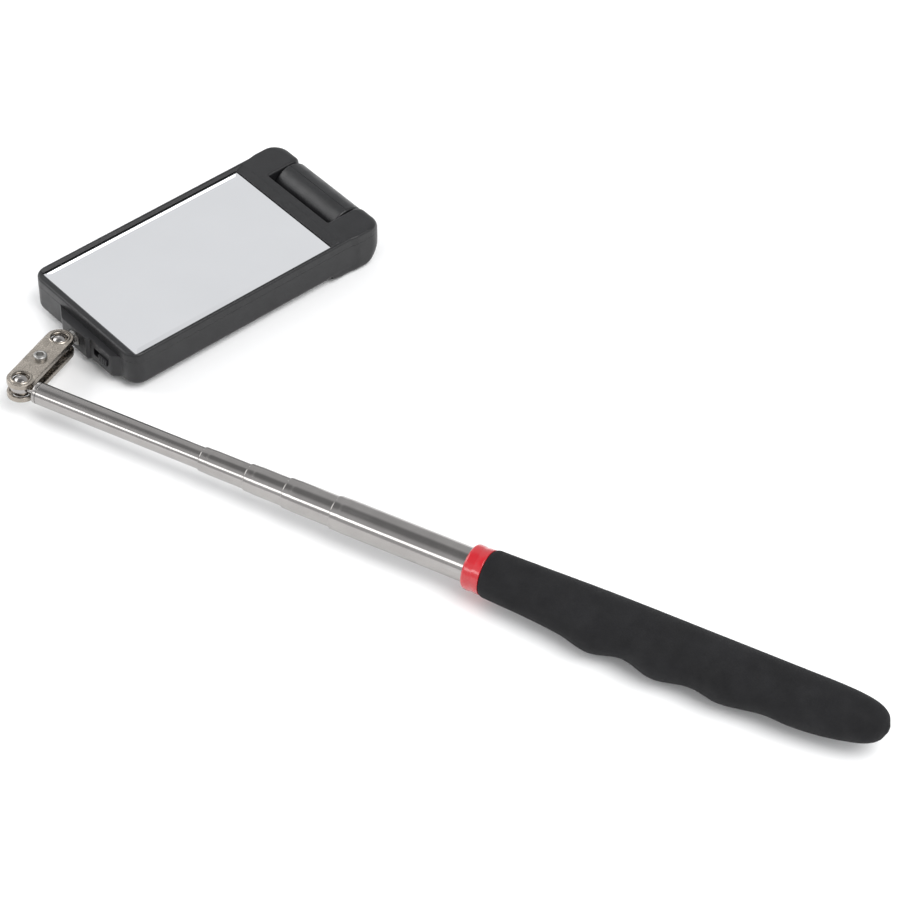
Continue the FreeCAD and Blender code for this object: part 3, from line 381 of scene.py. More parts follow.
def surface(name, colour, roughness, metallic=0.0, mottle=(180, 0.12), grain=(2500, 0.00002), spread=0.06,
            wear=0.0, wear_colour=None, lines=(1, 1, 1), **constants):
    """A finished material: mottled colour, uneven roughness, grain and fine wear marks.

    mottle is (scale, amount), grain is (scale, height in metres), spread is how far the roughness varies,
    and lines stretches the grain and the marks. constants are the shader's own sockets.
    """
    patch_low, patch_high = 0.3, 0.7
    marks_scale, marks_low, marks_high = 420, 0.60, 0.72
    worn_tint, worn_roughness = 1.8, 0.25
    uneven_scale = mottle[0] * 2.3
    nodes = Nodes(f"{name}_finish")
    shader = nodes.shader
    shader.inputs["Metallic"].default_value = metallic
    for key, value in constants.items():
        shader.inputs[key.replace("_", " ")].default_value = value
    patches = nodes.ramp(nodes.noise(mottle[0]), patch_low, patch_high)
    base = nodes.mix(patches, tinted(colour, 1 - mottle[1]), tinted(colour, 1 + mottle[1]))
    marks = nodes.ramp(nodes.noise(marks_scale, 6.0, lines, 0.6), marks_low, marks_high, 0.0, wear)
    worn = wear_colour or tinted(colour, worn_tint)
    nodes.link(nodes.mix(marks, base, worn), shader.inputs["Base Color"])
    uneven = nodes.ramp(nodes.noise(uneven_scale, 5.0, lines), patch_low, patch_high,
                        roughness - spread, roughness + spread)
    rubbed = nodes.ramp(marks, 0.0, 1.0, 0.0, worn_roughness)
    nodes.link(nodes.add(uneven, rubbed), shader.inputs["Roughness"])
    nodes.bump(nodes.noise(grain[0], 2.0, lines), grain[1])
    return nodes.material


def make_materials():
    """Every material by the name of its slot in the record."""
    along = (0.04, 1, 1)
    made = [
        surface("foam", (0.0075, 0.0075, 0.0085), 0.85, mottle=(90, 0.22), grain=(2600, 0.00012),
                wear=0.25, wear_colour=(0.018, 0.018, 0.019), Specular_IOR_Level=0.3),
        surface("red_plastic", (0.46, 0.010, 0.018), 0.24, mottle=(120, 0.08), grain=(900, 0.00001),
                wear=0.12, wear_colour=(0.5, 0.03, 0.04), Coat_Weight=0.6, Coat_Roughness=0.08),
        surface("grey_plastic", (0.35, 0.35, 0.36), 0.5, grain=(1800, 0.00002), wear=0.1),
        surface("nickel", (0.31, 0.28, 0.245), 0.27, 1.0, mottle=(260, 0.14), grain=(1500, 0.00003),
                spread=0.06, wear=0.25, wear_colour=(0.20, 0.17, 0.14)),
        surface("zinc_steel", (0.34, 0.335, 0.325), 0.34, 1.0, mottle=(300, 0.15), grain=(1800, 0.00002),
                wear=0.25, wear_colour=(0.4, 0.39, 0.37)),
        surface("bright_steel", (0.36, 0.345, 0.335), 0.16, 1.0, mottle=(140, 0.06), grain=(1400, 0.000006),
                spread=0.05, wear=0.18, wear_colour=(0.46, 0.46, 0.47), lines=along),
        surface("black_plastic", (0.010, 0.010, 0.011), 0.38, mottle=(110, 0.2), grain=(3200, 0.00005),
                wear=0.2, wear_colour=(0.03, 0.03, 0.032), Specular_IOR_Level=0.42),
        surface("mirror", (0.93, 0.935, 0.95), 0.035, 1.0, mottle=(40, 0.012), grain=(60, 0.0000004),
                spread=0.012, wear=0.03, wear_colour=(0.86, 0.87, 0.89)),
        surface("clear_plastic", (0.90, 0.93, 0.95), 0.08, grain=(600, 0.00001), spread=0.03, wear=0.06,
                Transmission_Weight=0.9, IOR=1.49),
        surface("board", (0.03, 0.16, 0.07), 0.35, grain=(2200, 0.00002), wear=0.1),
        surface("led", (0.85, 0.85, 0.70), 0.1, grain=(900, 0.000005), wear=0.04,
                Transmission_Weight=0.5, IOR=1.5),
    ]
    return {material.name.removesuffix("_finish"): material for material in made}


MATERIALS = make_materials()


# ---------------------------------------------------------------- mast

LIP_GAP = 0.04
LIP_LENGTH = 3.0
ROLL = 0.45
TUBE_WALL = 0.4
SECTIONS = 5
NECK = 1.6


def mast_tube(number, body):
    """A polished section whose mouth is rolled in round the next one."""
    node = f"mast_tube_{number}"
    span = Span(node, MAST)
    radius, mouth, butt = span.size.z / 2, span.low.x, span.high.x
    inner = radius - TUBE_WALL
    outside = [(butt, inner), (butt, radius)]
    if number < SECTIONS:
        lip = Span(f"mast_tube_{number + 1}", MAST).size.z / 2 + LIP_GAP
        neck = radius - 0.1
        outside += [(mouth + 4.2, radius), (mouth + 3.2, neck + 0.03), (mouth + 2.4, neck)]
        outside += arc((mouth + ROLL, neck - ROLL), ROLL, 90, 180, 8)
        inside = [(mouth + 0.1, lip), (mouth + LIP_LENGTH, lip), (mouth + LIP_LENGTH + 0.2, inner)]
    else:
        rim = 0.2
        outside += arc((mouth + rim, radius - rim), rim, 90, 180, 4)
        inside = [(mouth, inner)]
    profile = outside + inside
    finish_piece(lathe(node, MAST, profile, segments=128), body, "bright_steel", node)


def guide_bush(number, body):
    """A guide bush with a spigot and two grease grooves."""
    node = f"guide_bush_{number}"
    span = Span(node, MAST)
    radius, low, high = span.size.z / 2, span.low.x, span.high.x
    bore, spigot = 2.0, radius - 0.55
    step = high - 10.0
    depth, width = 0.3, 1.0
    profile = [(low, bore), (high, bore), (high, radius - depth), (high - depth, radius)]
    for groove in (high - 3.0, high - 6.0):
        profile += [(groove, radius), (groove - 0.2, radius - depth), (groove - 0.8, radius - depth),
                    (groove - width, radius)]
    profile += [(step, radius), (step, spigot), (low, spigot)]
    finish_piece(lathe(node, MAST, profile), body, "grey_plastic", node)


def grip_collar():
    """The glossy ring in front of the grip, with soft edges and a shallow waist."""
    span = Span("grip_collar", MAST)
    radius, low, high = span.size.z / 2, span.low.x, span.high.x
    bore = Span("mast_tube_1", MAST).size.z / 2
    edge, back_edge, waist = 1.1, 0.3, 0.18
    middle = (low + high) / 2
    profile = [(high, bore), (high, radius - back_edge)]
    profile += arc((high - back_edge, radius - back_edge), back_edge, 0, 90, 3)
    profile += [(middle + 1.6, radius), (middle + 0.8, radius - waist), (middle, radius - waist),
                (middle - 0.8, radius)]
    profile += arc((low + edge, radius - edge), edge, 90, 180, 10) + [(low, bore)]
    finish_piece(lathe("grip_collar", MAST, profile, segments=128), "handle", "red_plastic",
                 "grip_collar")


# Grip stations: share of the grip's length, radius on the finger side, radius on the back, in millimetres.
GRIP_STATIONS = [
    (0.013, 8.5, 8.5), (0.123, 9.2, 8.8), (0.213, 10.3, 9.1), (0.291, 12.3, 9.3), (0.371, 10.0, 9.4),
    (0.453, 12.4, 9.4), (0.544, 10.4, 9.4), (0.618, 11.7, 9.4), (0.723, 9.7, 9.4), (0.787, 9.9, 9.4),
    (0.861, 9.1, 9.4), (0.920, 7.6, 9.0), (0.9635, 5.8, 7.9), (0.989, 3.3, 5.7), (1.0, 0.2, 2.6),
]


def smooth_between(stations, at):
    """Both radii at a share of the length, on a smooth curve through the stations."""
    last = len(stations) - 1
    index = next((i for i in range(last) if at <= stations[i + 1][0]), last - 1)
    around = [stations[max(0, min(last, index + k))] for k in (-1, 0, 1, 2)]
    width = around[2][0] - around[1][0]
    share = max(0.0, min(1.0, (at - around[1][0]) / width))
    values = []
    for column in (1, 2):
        p0, p1, p2, p3 = (station[column] for station in around)
        low_slope = (p2 - p0) / (around[2][0] - around[0][0]) * width
        high_slope = (p3 - p1) / (around[3][0] - around[1][0]) * width
        a, b = share * share, share * share * share
        values.append((2 * b - 3 * a + 1) * p1 + (b - 2 * a + share) * low_slope
                      + (3 * a - 2 * b) * p2 + (b - a) * high_slope)
    return values


def grip():
    """The moulded foam grip: round sections whose centres lean towards the finger crests."""
    span = Span("grip", MAST)
    start, length = span.low.x, span.size.x
    tube = Span("mast_tube_1", MAST)
    bore, bore_end = tube.size.z / 2, tube.high.x + 1.5
    mouth, smallest = 7.4, 0.05
    crest_turn = math.radians(45)
    profile, offsets = [], []

    def ring(along, radius, offset=0.0):
        profile.append((along, radius))
        offsets.append((-offset * math.sin(crest_turn), -offset * math.cos(crest_turn)))

    ring(bore_end, 0)
    ring(bore_end, bore)
    ring(start, bore)
    ring(start, mouth)
    first_share, first_radius = GRIP_STATIONS[0][:2]
    edge_length = first_share * length
    edge_depth = edge_length * 0.6
    for x, r in arc((0, 0), 1.0, 175, 100, 6):
        ring(start + edge_length * (1 + x), first_radius - edge_depth * (1 - r))
    count, crowding = 170, 0.9
    for step in range(count + 1):
        # The rings crowd together towards the butt, where the outline turns in.
        share = math.sin(step / count * math.pi / 2) ** crowding
        at = first_share + (1 - first_share) * share
        finger, back = smooth_between(GRIP_STATIONS, min(1.0, at))
        ring(start + at * length, max(smallest, (finger + back) / 2), (finger - back) / 2)
    profile.append((start + length, 0))
    offsets.append(offsets[-1])
    piece = lathe("grip", MAST, profile, closed=False, segments=112, lean=lambda index: offsets[index])
    finish_piece(piece, "handle", "foam", "grip")


def ball_profile(radius, neck, steps=28):
    """Half a ball's profile from its far pole to where the neck leaves it."""
    end = math.pi - math.asin(neck / radius)
    turns = [end * step / steps for step in range(steps + 1)]
    return [(-radius * math.cos(turn), radius * math.sin(turn)) for turn in turns]


def mast_tip():
    """The ball on the mast: neck, shoulder and the plug in the thinnest section."""
    span = Span("mast_ball", MAST)
    tube = Span(f"mast_tube_{SECTIONS}", MAST)
    ball, outside = -span.low.x, tube.size.z / 2
    plug = outside - 0.45
    mouth = tube.low.x - 0.1
    shoulder, fillet, edge = mouth - 1.5, 0.5, 0.4
    profile = ball_profile(ball, NECK) + [(shoulder - fillet, NECK), (shoulder, NECK + fillet)]
    profile += [(shoulder, outside - edge)] + arc((shoulder + edge, outside - edge), edge, 180, 90, 6)
    profile += [(mouth, outside), (mouth, plug), (span.high.x, plug), (span.high.x, 0)]
    finish_piece(lathe("mast_ball", MAST, profile, closed=False), "mast_tip", "bright_steel",
                 "mast_ball")


def handle_plug():
    """The plug inside the grip's butt."""
    span = Span("handle_plug", MAST)
    radius, flange = span.size.z / 2, span.high.x - 1.5
    shank, chamfer = radius - 0.4, 0.2
    profile = [(span.low.x, 0), (span.low.x, shank - chamfer), (span.low.x + chamfer, shank),
               (flange, shank), (flange, radius), (span.high.x, radius), (span.high.x, 0)]
    finish_piece(lathe("handle_plug", MAST, profile, closed=False), "handle", "grey_plastic",
                 "handle_plug")


# ---------------------------------------------------------------- double ball joint

SEAT = 3.1
SCREW_RADIUS = 1.5

# Section of a seat's lip: share of the lip's height above the plate, distance from the seat's edge.
LIP_SECTION = [(-0.3, 0.10), (0.8, 0.12), (1.0, 0.30), (1.0, 0.55), (0.7, 0.80), (-0.3, 1.00)]


def link_skirt(outline, first, last):
    """The wall that stands round the inner side of a joint plate, between two heights."""
    low, high = min(first, last), max(first, last)
    skirt = slab("skirt", LINK, outline, low, high, 0.15, 0.15, steps=3)
    room = inset(outline, 0.9)
    return boolean(skirt, "DIFFERENCE", stack("cutter", LINK, [(low - 1, room), (high + 1, room)]))


def link_hole(x, radius, low, high):
    """A cutter for a hole through a joint plate, chamfered on both faces."""
    flare = 0.25
    profile = [(low - 1, 0), (low - 1, radius + flare), (low, radius + flare), (low + flare, radius),
               (high - flare, radius), (high, radius + flare), (high + 1, radius + flare), (high + 1, 0)]
    place = LINK @ Matrix.Translation((x, 0, 0))
    return lathe("cutter", place, profile, axis="z", closed=False, segments=64)


def link_plate(node, outward):
    """A stamped plate: rolled edges, a skirt on its inner side and open ball seats with raised lips.

    outward is 1 where the outer face is the upper one, and -1 where it is the lower one.
    """
    span = Span(node, LINK)
    radius = span.size.y / 2
    reach = span.high.x - radius
    low, high = span.low.z, span.high.z
    outer, inner = (high, low) if outward > 0 else (low, high)
    outline = arc((0, 0), radius, 90, 270, 24) + arc((reach, 0), radius, -90, 90, 24)
    plate = slab(node, LINK, outline, low, high, 0.3, 0.3, steps=4)
    overlap, skirt_depth, lip_height = 0.4 * outward, 0.85 * outward, 0.34 * outward
    boolean(plate, "UNION", link_skirt(outline, inner - skirt_depth, inner + overlap))
    holes = ((0, SEAT), (reach, SEAT), (reach / 2, SCREW_RADIUS))
    boolean(plate, "DIFFERENCE", *[link_hole(x, hole, low, high) for x, hole in holes])
    section = [(outer + lip_height * share, SEAT + away) for share, away in LIP_SECTION]
    joined(plate, *[lathe("lip", LINK @ Matrix.Translation((x, 0, 0)), section, axis="z", segments=72)
                    for x in (0, reach)])
    finish_piece(plate, "link", "nickel", node)


def link_screw():
    """The clamping screw with a domed head and a hexagon socket."""
    span = Span("link_screw", LINK)
    place = LINK @ Matrix.Translation((span.middle.x, 0, 0))
    tip, top, under = span.low.z, span.high.z, span.high.z - 1.4
    head, dome, chamfer = span.size.x / 2, 0.6, 0.3
    pitch, thread_depth, plain = 0.5, 0.22, 6.0
    profile = [(tip, 0), (tip, SCREW_RADIUS - chamfer), (tip + chamfer, SCREW_RADIUS)]
    thread = tip + pitch
    while thread < under - plain:
        profile += [(thread, SCREW_RADIUS), (thread + pitch / 2, SCREW_RADIUS - thread_depth)]
        thread += pitch
    profile += [(under, SCREW_RADIUS), (under, head), (under + 0.5, head)]
    profile += arc((top - dome, head - dome), dome, 90, 0, 5) + [(top, 0)]
    screw = lathe("link_screw", place, profile, axis="z", closed=False, segments=64)
    hexagon = arc((0, 0), 1.6, 0, 300, 5)
    flared = inset(hexagon, -0.3)
    socket = stack("cutter", place, [(top - 1.0, hexagon), (top - 0.12, hexagon), (top + 0.2, flared)])
    boolean(screw, "DIFFERENCE", socket)
    finish_piece(screw, "link", "zinc_steel", "link_screw")


def link_nut():
    """The hexagon nut with chamfered corners."""
    span = Span("link_nut", LINK)
    place = LINK @ Matrix.Translation((span.middle.x, 0, 0))
    low, high, across = span.low.z, span.high.z, span.size.x / 2
    hexagon = arc((0, 0), across, 0, 300, 5)
    nut = stack("link_nut", place, [(low, hexagon), (high, hexagon)])
    flat, beyond, thread = across * math.cos(math.radians(30)), across + 0.05, 1.55
    chamfer = [(low, 0), (low, flat), (low + 0.45, beyond), (high - 0.3, beyond), (high, flat + 0.1),
               (high, 0)]
    boolean(nut, "INTERSECT", lathe("cutter", place, chamfer, axis="z", closed=False, segments=96))
    bore = [(low - 1, 0), (low - 1, 2.0), (low, 1.9), (low + 0.35, thread), (high + 1, thread),
            (high + 1, 0)]
    boolean(nut, "DIFFERENCE", lathe("cutter", place, bore, axis="z", closed=False, segments=48))
    finish_piece(nut, "link", "zinc_steel", "link_nut")


# ---------------------------------------------------------------- head

case = Span("rear_case", HEAD)
bezel = Span("front_bezel", HEAD)
glass = Span("mirror_glass", HEAD)
barrel = Span("lamp_barrel_rear", LAMP)

# Along the head from the stem's ball, and half widths
HUB_START = case.low.x
CASE_START, CASE_END = bezel.low.x, bezel.high.x
RECESS_START = CASE_END - 15.7
FLARE_START, FLARE_END = CASE_END - 15.2, CASE_END - 11.7
RAMP_START, RAMP_END = CASE_END - 24.2, CASE_END - 16.2
EAR_HALF = bezel.high.y
CASE_HALF = EAR_HALF - 0.5
EAR_GAP = barrel.high.y + 0.4

# Heights: the lamp housing stands on 0, and the thin back lies higher
BACK = 2.2
PARTING, TOP = bezel.low.z, bezel.high.z

# The window is smaller than the glass by the lip that holds it
GLASS_LIP = 1.0
WINDOW_X = (glass.low.x + GLASS_LIP, glass.high.x - GLASS_LIP)
WINDOW_HALF = glass.high.y - GLASS_LIP

CASE_CORNER = 5.5
CASE_WALL = 2.0
NOSE_TOP, NOSE_BOTTOM = 3.0, 8.5
SEAM = 0.14


def nose_limit(z):
    """How far the ears reach at a height: a tight round above and a wide one below."""
    if z > TOP - NOSE_TOP:
        rise = min(NOSE_TOP, z - (TOP - NOSE_TOP))
        return CASE_END - NOSE_TOP + math.sqrt(NOSE_TOP ** 2 - rise ** 2)
    if z < NOSE_BOTTOM:
        fall = min(NOSE_BOTTOM, NOSE_BOTTOM - z)
        return CASE_END - NOSE_BOTTOM + math.sqrt(NOSE_BOTTOM ** 2 - fall ** 2)
    return CASE_END


def nosed(x, y, z):
    """A point of the ears, drawn in to the nose's limit at its height."""
    if x > FLARE_START:
        x = FLARE_START + (x - FLARE_START) * (nose_limit(z) - FLARE_START) / (CASE_END - FLARE_START)
    return x, y, z


def ramped(x, y, z):
    """A point of the lamp housing, whose near end follows a soft ramp down from the back."""
    if x < RAMP_END and z < BACK:
        share = math.acos(2 * z / BACK - 1) / math.pi
        x = max(x, RAMP_START + (RAMP_END - RAMP_START) * share)
    return nosed(x, y, z)


def lamp_corners(start, start_radius, slim=0.0, early=0.0, flare_radius=6.0):
    """Corners of the plan that flares into the two ears.

    slim draws the sides in and early starts the flare sooner, so that the housing crosses the shell's sides
    and doesn't lie on them.
    """
    side = CASE_HALF - slim
    ear_round, gap_round, recess_round = 6.0, 2.6, 0.6
    return mirrored([
        (start, side, start_radius),
        (FLARE_START - early, side, flare_radius),
        (FLARE_END, EAR_HALF, ear_round),
        (CASE_END, EAR_HALF, ear_round),
        (CASE_END, EAR_GAP, gap_round),
        (RECESS_START, EAR_GAP, recess_round),
    ])


SWITCH_WALL = 7.6


def case_outside():
    """The outside of the rear shell: hub, switch boss, thin back and deeper lamp housing."""
    hub_half, hub_root = 7.0, 13.0
    boss_edge, boss_root = 20.5, 23.0
    corners = [
        (HUB_START, hub_half, 2.4),
        (CASE_START, hub_root, 3.0),
        (CASE_START, CASE_HALF, CASE_CORNER),
        (FLARE_START, CASE_HALF, 0),
        (FLARE_START, -CASE_HALF, 0),
        (CASE_START, -CASE_HALF, CASE_CORNER),
        (CASE_START, -boss_root, 1.5),
        (SWITCH_WALL, -boss_edge, 2.2),
        (SWITCH_WALL, -hub_half - SWITCH_WALL + HUB_START, 0),
        (HUB_START, -hub_half, 0),
    ]
    back_round, housing_round = 2.2, 2.4
    shell = slab("rear_case", HEAD, rounded(corners), BACK, PARTING - 0.01, back_round, SEAM, between=2)
    lamp_plan = rounded(lamp_corners(RAMP_START, 0, slim=0.04, early=0.8, flare_radius=0))
    housing = slab("housing", HEAD, lamp_plan, 0.0, PARTING, housing_round, SEAM, bend=ramped, between=10)
    return boolean(shell, "UNION", housing)


def case_hollow():
    """A cutter for the inside of the rear shell, above its floor."""
    floor, half = BACK + 1.8, CASE_HALF - CASE_WALL
    x = (CASE_START + CASE_WALL, RECESS_START - CASE_WALL)
    plan = rounded(rectangle(x, (-half, half), 3.0), 4)
    return stack("cutter", HEAD, [(floor, plan), (PARTING + 1, plan)])


def stem_bore():
    """A cutter for the stem's hole through the hub, flared at its mouth."""
    end, radius, mouth = CASE_START + CASE_WALL + 0.2, 3.0, 3.4
    profile = [(HUB_START - 1, 0), (HUB_START - 1, 3.5), (HUB_START, mouth), (HUB_START + 0.4, radius),
               (end, radius), (end, 0)]
    place = HEAD @ Matrix.Translation((0, 0, stem_ball.z / MM))
    return lathe("cutter", place, profile, closed=False, segments=48)


def switch_slot():
    """A cutter for the slot that the switch's knob slides in."""
    knob = Span("switch_knob", HEAD)
    travel, side_gap, height_gap = 3.6, 0.2, 0.3
    low = (SWITCH_WALL - 1, knob.low.y - side_gap, knob.low.z - height_gap)
    high = (CASE_START + CASE_WALL + 0.2, knob.high.y + travel, knob.high.z + height_gap)
    return block("cutter", HEAD, low, high, 0.4)


def door_recess():
    """A cutter for the battery door's opening, with a chamfered edge."""
    door = Span("battery_door", HEAD)
    gap = 0.15
    x, y = (door.low.x - gap, door.high.x + gap), (door.low.y - gap, door.high.y + gap)
    plan = rounded(rectangle(x, y, 1.6), 5)
    return stack("cutter", HEAD, [(BACK - 1, inset(plan, -0.4)), (BACK + 0.01, inset(plan, -0.2)),
                                  (BACK + 0.25, plan), (door.high.z, plan)])


def pivot_bore():
    """A cutter for the holes of the lamp's pivots, through both ears."""
    pivot = Span("lamp_pivots", HEAD)
    low, high, radius = pivot.low.y - 0.3, pivot.high.y + 0.3, 1.6
    place = HEAD @ Matrix.Translation((pivot.middle.x, 0, pivot.middle.z))
    profile = [(low, 0), (low, radius), (high, radius), (high, 0)]
    return lathe("cutter", place, profile, axis="y", closed=False, segments=48)


def screw_places(screws):
    """Where the two case screws stand across the head, and the radius of their heads."""
    head = screws.size.x / 2
    return (screws.low.y + head, screws.high.y - head), head


def screw_seats():
    """Cutters for the seats of the two case screws, tapered inwards from the back."""
    screws = Span("case_screws", HEAD)
    places, head = screw_places(screws)
    seat = screws.low.z + 1.2
    profile = [(-1, 0), (-1, head + 0.35), (seat, head + 0.25), (seat, 0)]
    return [lathe("cutter", HEAD @ Matrix.Translation((screws.middle.x, y, 0)), profile, axis="z",
                  closed=False, segments=40) for y in places]


def rear_case():
    """The hollow rear shell, with its openings for stem, switch, battery door, pivots and screws."""
    shell = case_outside()
    boolean(shell, "DIFFERENCE", case_hollow(), stem_bore(), switch_slot(), door_recess(), pivot_bore(),
            *screw_seats())
    finish_piece(shell, "head", "black_plastic", "rear_case")


def window_outline(grow, grow_lamp, radius):
    """The window's outline, grown on three sides by grow and towards the lamp by grow_lamp."""
    x = (WINDOW_X[0] - grow, WINDOW_X[1] + grow_lamp)
    return rounded(rectangle(x, (-WINDOW_HALF - grow, WINDOW_HALF + grow), radius), 5)


def front_bezel():
    """The front frame: soft edges, sloped reveal round the glass and a flat strip towards the lamp."""
    plan = rounded(lamp_corners(CASE_START, CASE_CORNER))
    shell = slab("front_bezel", HEAD, plan, PARTING, TOP, SEAM, 0.9, bend=nosed, between=4)
    reveal, lamp_reveal, edge = 0.7, 3.4, 0.18
    seat_top = glass.high.z
    window = window_outline(0, 0, 0.6)
    rim = window_outline(reveal + edge * 1.6, lamp_reveal + edge * 1.6, 0.9)
    opening = stack("cutter", HEAD, [
        (seat_top - 1.0, window),
        (seat_top + 0.05, window),
        (TOP - edge, window_outline(reveal, lamp_reveal, 0.8)),
        (TOP + 0.02, rim),
        (TOP + 1.0, rim),
    ])
    margin = GLASS_LIP + 0.1
    seat_plan = rounded(rectangle((WINDOW_X[0] - margin, WINDOW_X[1] + margin),
                                  (-WINDOW_HALF - margin, WINDOW_HALF + margin), 0.3), 2)
    seat = stack("cutter", HEAD, [(PARTING - 1, seat_plan), (seat_top, seat_plan)])
    boolean(shell, "DIFFERENCE", opening, seat)
    finish_piece(shell, "head", "black_plastic", "front_bezel")


def mirror_glass():
    """The mirror plate with a ground bevel all round."""
    bevel, drop, edge = GLASS_LIP + 2.2, 0.42, 0.1
    bevel_angle = math.radians(4)
    low, high = glass.low.z, glass.high.z

    def plan(margin, radius):
        x, y = (glass.low.x + margin, glass.high.x - margin), (glass.low.y + margin, glass.high.y - margin)
        return rounded(rectangle(x, y, radius), 4)

    piece = stack("mirror_glass", HEAD, [
        (low, plan(edge, 0.4)),
        (low + edge, plan(0, 0.5)),
        (high - drop - edge, plan(0, 0.5)),
        (high - drop, plan(edge, 0.4)),
        (high, plan(bevel, 0.3)),
    ])
    finish_piece(piece, "head", "mirror", "mirror_glass", sharp=bevel_angle)


def head_stem():
    """The stem: ball, neck and shaft in one."""
    span = Span("head_stem", HEAD)
    ball, chamfer = -span.low.x, 0.3
    profile = ball_profile(ball, NECK) + [(ball + 1.2, NECK - 0.05), (ball + 1.6, NECK)]
    profile += [(span.high.x - chamfer, NECK), (span.high.x, NECK - chamfer), (span.high.x, 0)]
    place = HEAD @ Matrix.Translation((0, 0, span.middle.z))
    finish_piece(lathe("head_stem", place, profile, closed=False), "stem", "bright_steel", "head_stem")


def cross_recess(place, top, depth, size):
    """A cutter for a cross recess, opening upwards at top and narrower at its bottom."""
    arm, half = size, size * 0.24
    quarter = [(arm, half), (half, half), (half, arm)]
    corners = []
    for _ in range(4):
        corners += quarter
        quarter = [(-y, x) for x, y in quarter]
    deep = [(x * 0.55, y * 0.7) for x, y in corners]
    return stack("cutter", place, [(top - depth, deep), (top, corners), (top + 0.5, corners)])


def turned_over(x, y, z):
    """A place on the back of the head, with its Z pointing out of the back."""
    return HEAD @ Matrix.Translation((x, y, z)) @ Matrix.Rotation(math.pi, 4, "X")


def back_screws():
    """The pan-head case screws and the countersunk screw of the battery door."""
    span = Span("case_screws", HEAD)
    places, head = screw_places(span)
    length, dome, under, shank = span.size.z, 0.7, -1.2, 1.1
    profile = [(0, 0)] + arc((-dome, head - dome), dome, 0, 90, 5)
    profile += [(under, head), (under, shank), (-length, shank), (-length, 0)]
    made = []
    for y in places:
        place = turned_over(span.middle.x, y, span.low.z)
        screw = lathe("case_screw", place, profile, axis="z", closed=False, segments=48)
        made.append(boolean(screw, "DIFFERENCE", cross_recess(place, 0.05, 0.8, head * 0.6)))
    screws = joined(*made)
    screws.name = screws.data.name = "case_screws"
    finish_piece(screws, "head", "zinc_steel", "case_screws")
    door = Span("door_screw", HEAD)
    place = turned_over(door.middle.x, door.middle.y, door.low.z)
    head, length, shank = door.size.x / 2, door.size.z, 0.9
    profile = [(0, 0), (0, head - 0.1), (-0.1, head), (-0.9, shank), (-length, shank), (-length, 0)]
    screw = lathe("door_screw", place, profile, axis="z", closed=False, segments=48)
    boolean(screw, "DIFFERENCE", cross_recess(place, 0.02, 0.7, head * 0.62))
    finish_piece(screw, "head", "zinc_steel", "door_screw")


def battery_door():
    """The flush cover on the back, with grip ridges."""
    span = Span("battery_door", HEAD)
    screw = Span("door_screw", HEAD)
    plan = rounded(rectangle((span.low.x, span.high.x), (span.low.y, span.high.y), 1.5), 5)
    door = slab("battery_door", HEAD, plan, span.low.z, span.high.z, 0.2, 0.1, steps=3)
    count, pitch, width, half, depth, beyond = 4, 1.6, 0.8, 6.0, 0.35, 0.5
    cutters = []
    for index in range(count):
        x = span.low.x + 3.0 + index * pitch
        low, high = (x, -half, span.low.z - beyond), (x + width, half, span.low.z + depth)
        cutters.append(block("cutter", HEAD, low, high, 0.25))
    place = HEAD @ Matrix.Translation((screw.middle.x, screw.middle.y, screw.low.z))
    mouth, hole = 1.8, 0.95
    sink = [(-0.5, 0), (-0.5, mouth + 0.05), (0.05, mouth), (0.95, hole), (3, hole), (3, 0)]
    cutters.append(lathe("cutter", place, sink, axis="z", closed=False, segments=40))
    boolean(door, "DIFFERENCE", *cutters)
    finish_piece(door, "head", "black_plastic", "battery_door")


def switch_knob():
    """The slide switch's ribbed knob."""
    span = Span("switch_knob", HEAD)
    knob = block("switch_knob", HEAD, span.low, span.high, 0.25)
    count, depth = 4, 0.35
    pitch = span.size.y / (count + 0.5)
    grooves = []
    for index in range(count):
        low = (span.low.x - 0.5, span.low.y + pitch * (index + 0.55), span.low.z - 1)
        high = (span.low.x + depth, span.low.y + pitch * (index + 0.95), span.high.z + 1)
        grooves.append(block("cutter", HEAD, low, high, 0.1))
    boolean(knob, "DIFFERENCE", *grooves)
    finish_piece(knob, "switch", "black_plastic", "switch_knob")


# ---------------------------------------------------------------- lamp

BARREL_RADIUS = -barrel.low.x
WINDOW_DEPTH = 3.0


def lamp_barrel():
    """The two half shells of the tilting barrel; the front one has the window's opening."""
    radius, half = BARREL_RADIUS, barrel.size.y / 2
    wall, end_wall, edge, pin = 1.3, 2.0, 0.9, 1.52
    inner, inner_half = radius - wall, half - end_wall
    profile = [(-half, pin)] + arc((-half + edge, radius - edge), edge, 180, 90, 6)
    profile += arc((half - edge, radius - edge), edge, 90, 0, 6)
    profile += [(half, pin), (inner_half, pin), (inner_half, inner), (-inner_half, inner),
                (-inner_half, pin)]
    seam, gap, beyond = 0.06, 0.04, radius + 2
    off_seam = math.radians(1.1)
    window = Span("lamp_window", LAMP)
    for node, x in (("lamp_barrel_front", (seam, beyond)), ("lamp_barrel_rear", (-beyond, -seam))):
        shell = lathe(node, LAMP, profile, axis="y", segments=144, start=off_seam)
        side = rounded(rectangle(x, (-half - 2, half + 2), 0))
        boolean(shell, "INTERSECT", stack("cutter", LAMP, [(-beyond, side), (beyond, side)]))
        if node == "lamp_barrel_front":
            low = (WINDOW_DEPTH, window.low.y - gap, window.low.z - gap)
            high = (radius + 3, window.high.y + gap, window.high.z + gap)
            boolean(shell, "DIFFERENCE", block("cutter", LAMP, low, high, 0.5))
        finish_piece(shell, "lamp", "black_plastic", node)


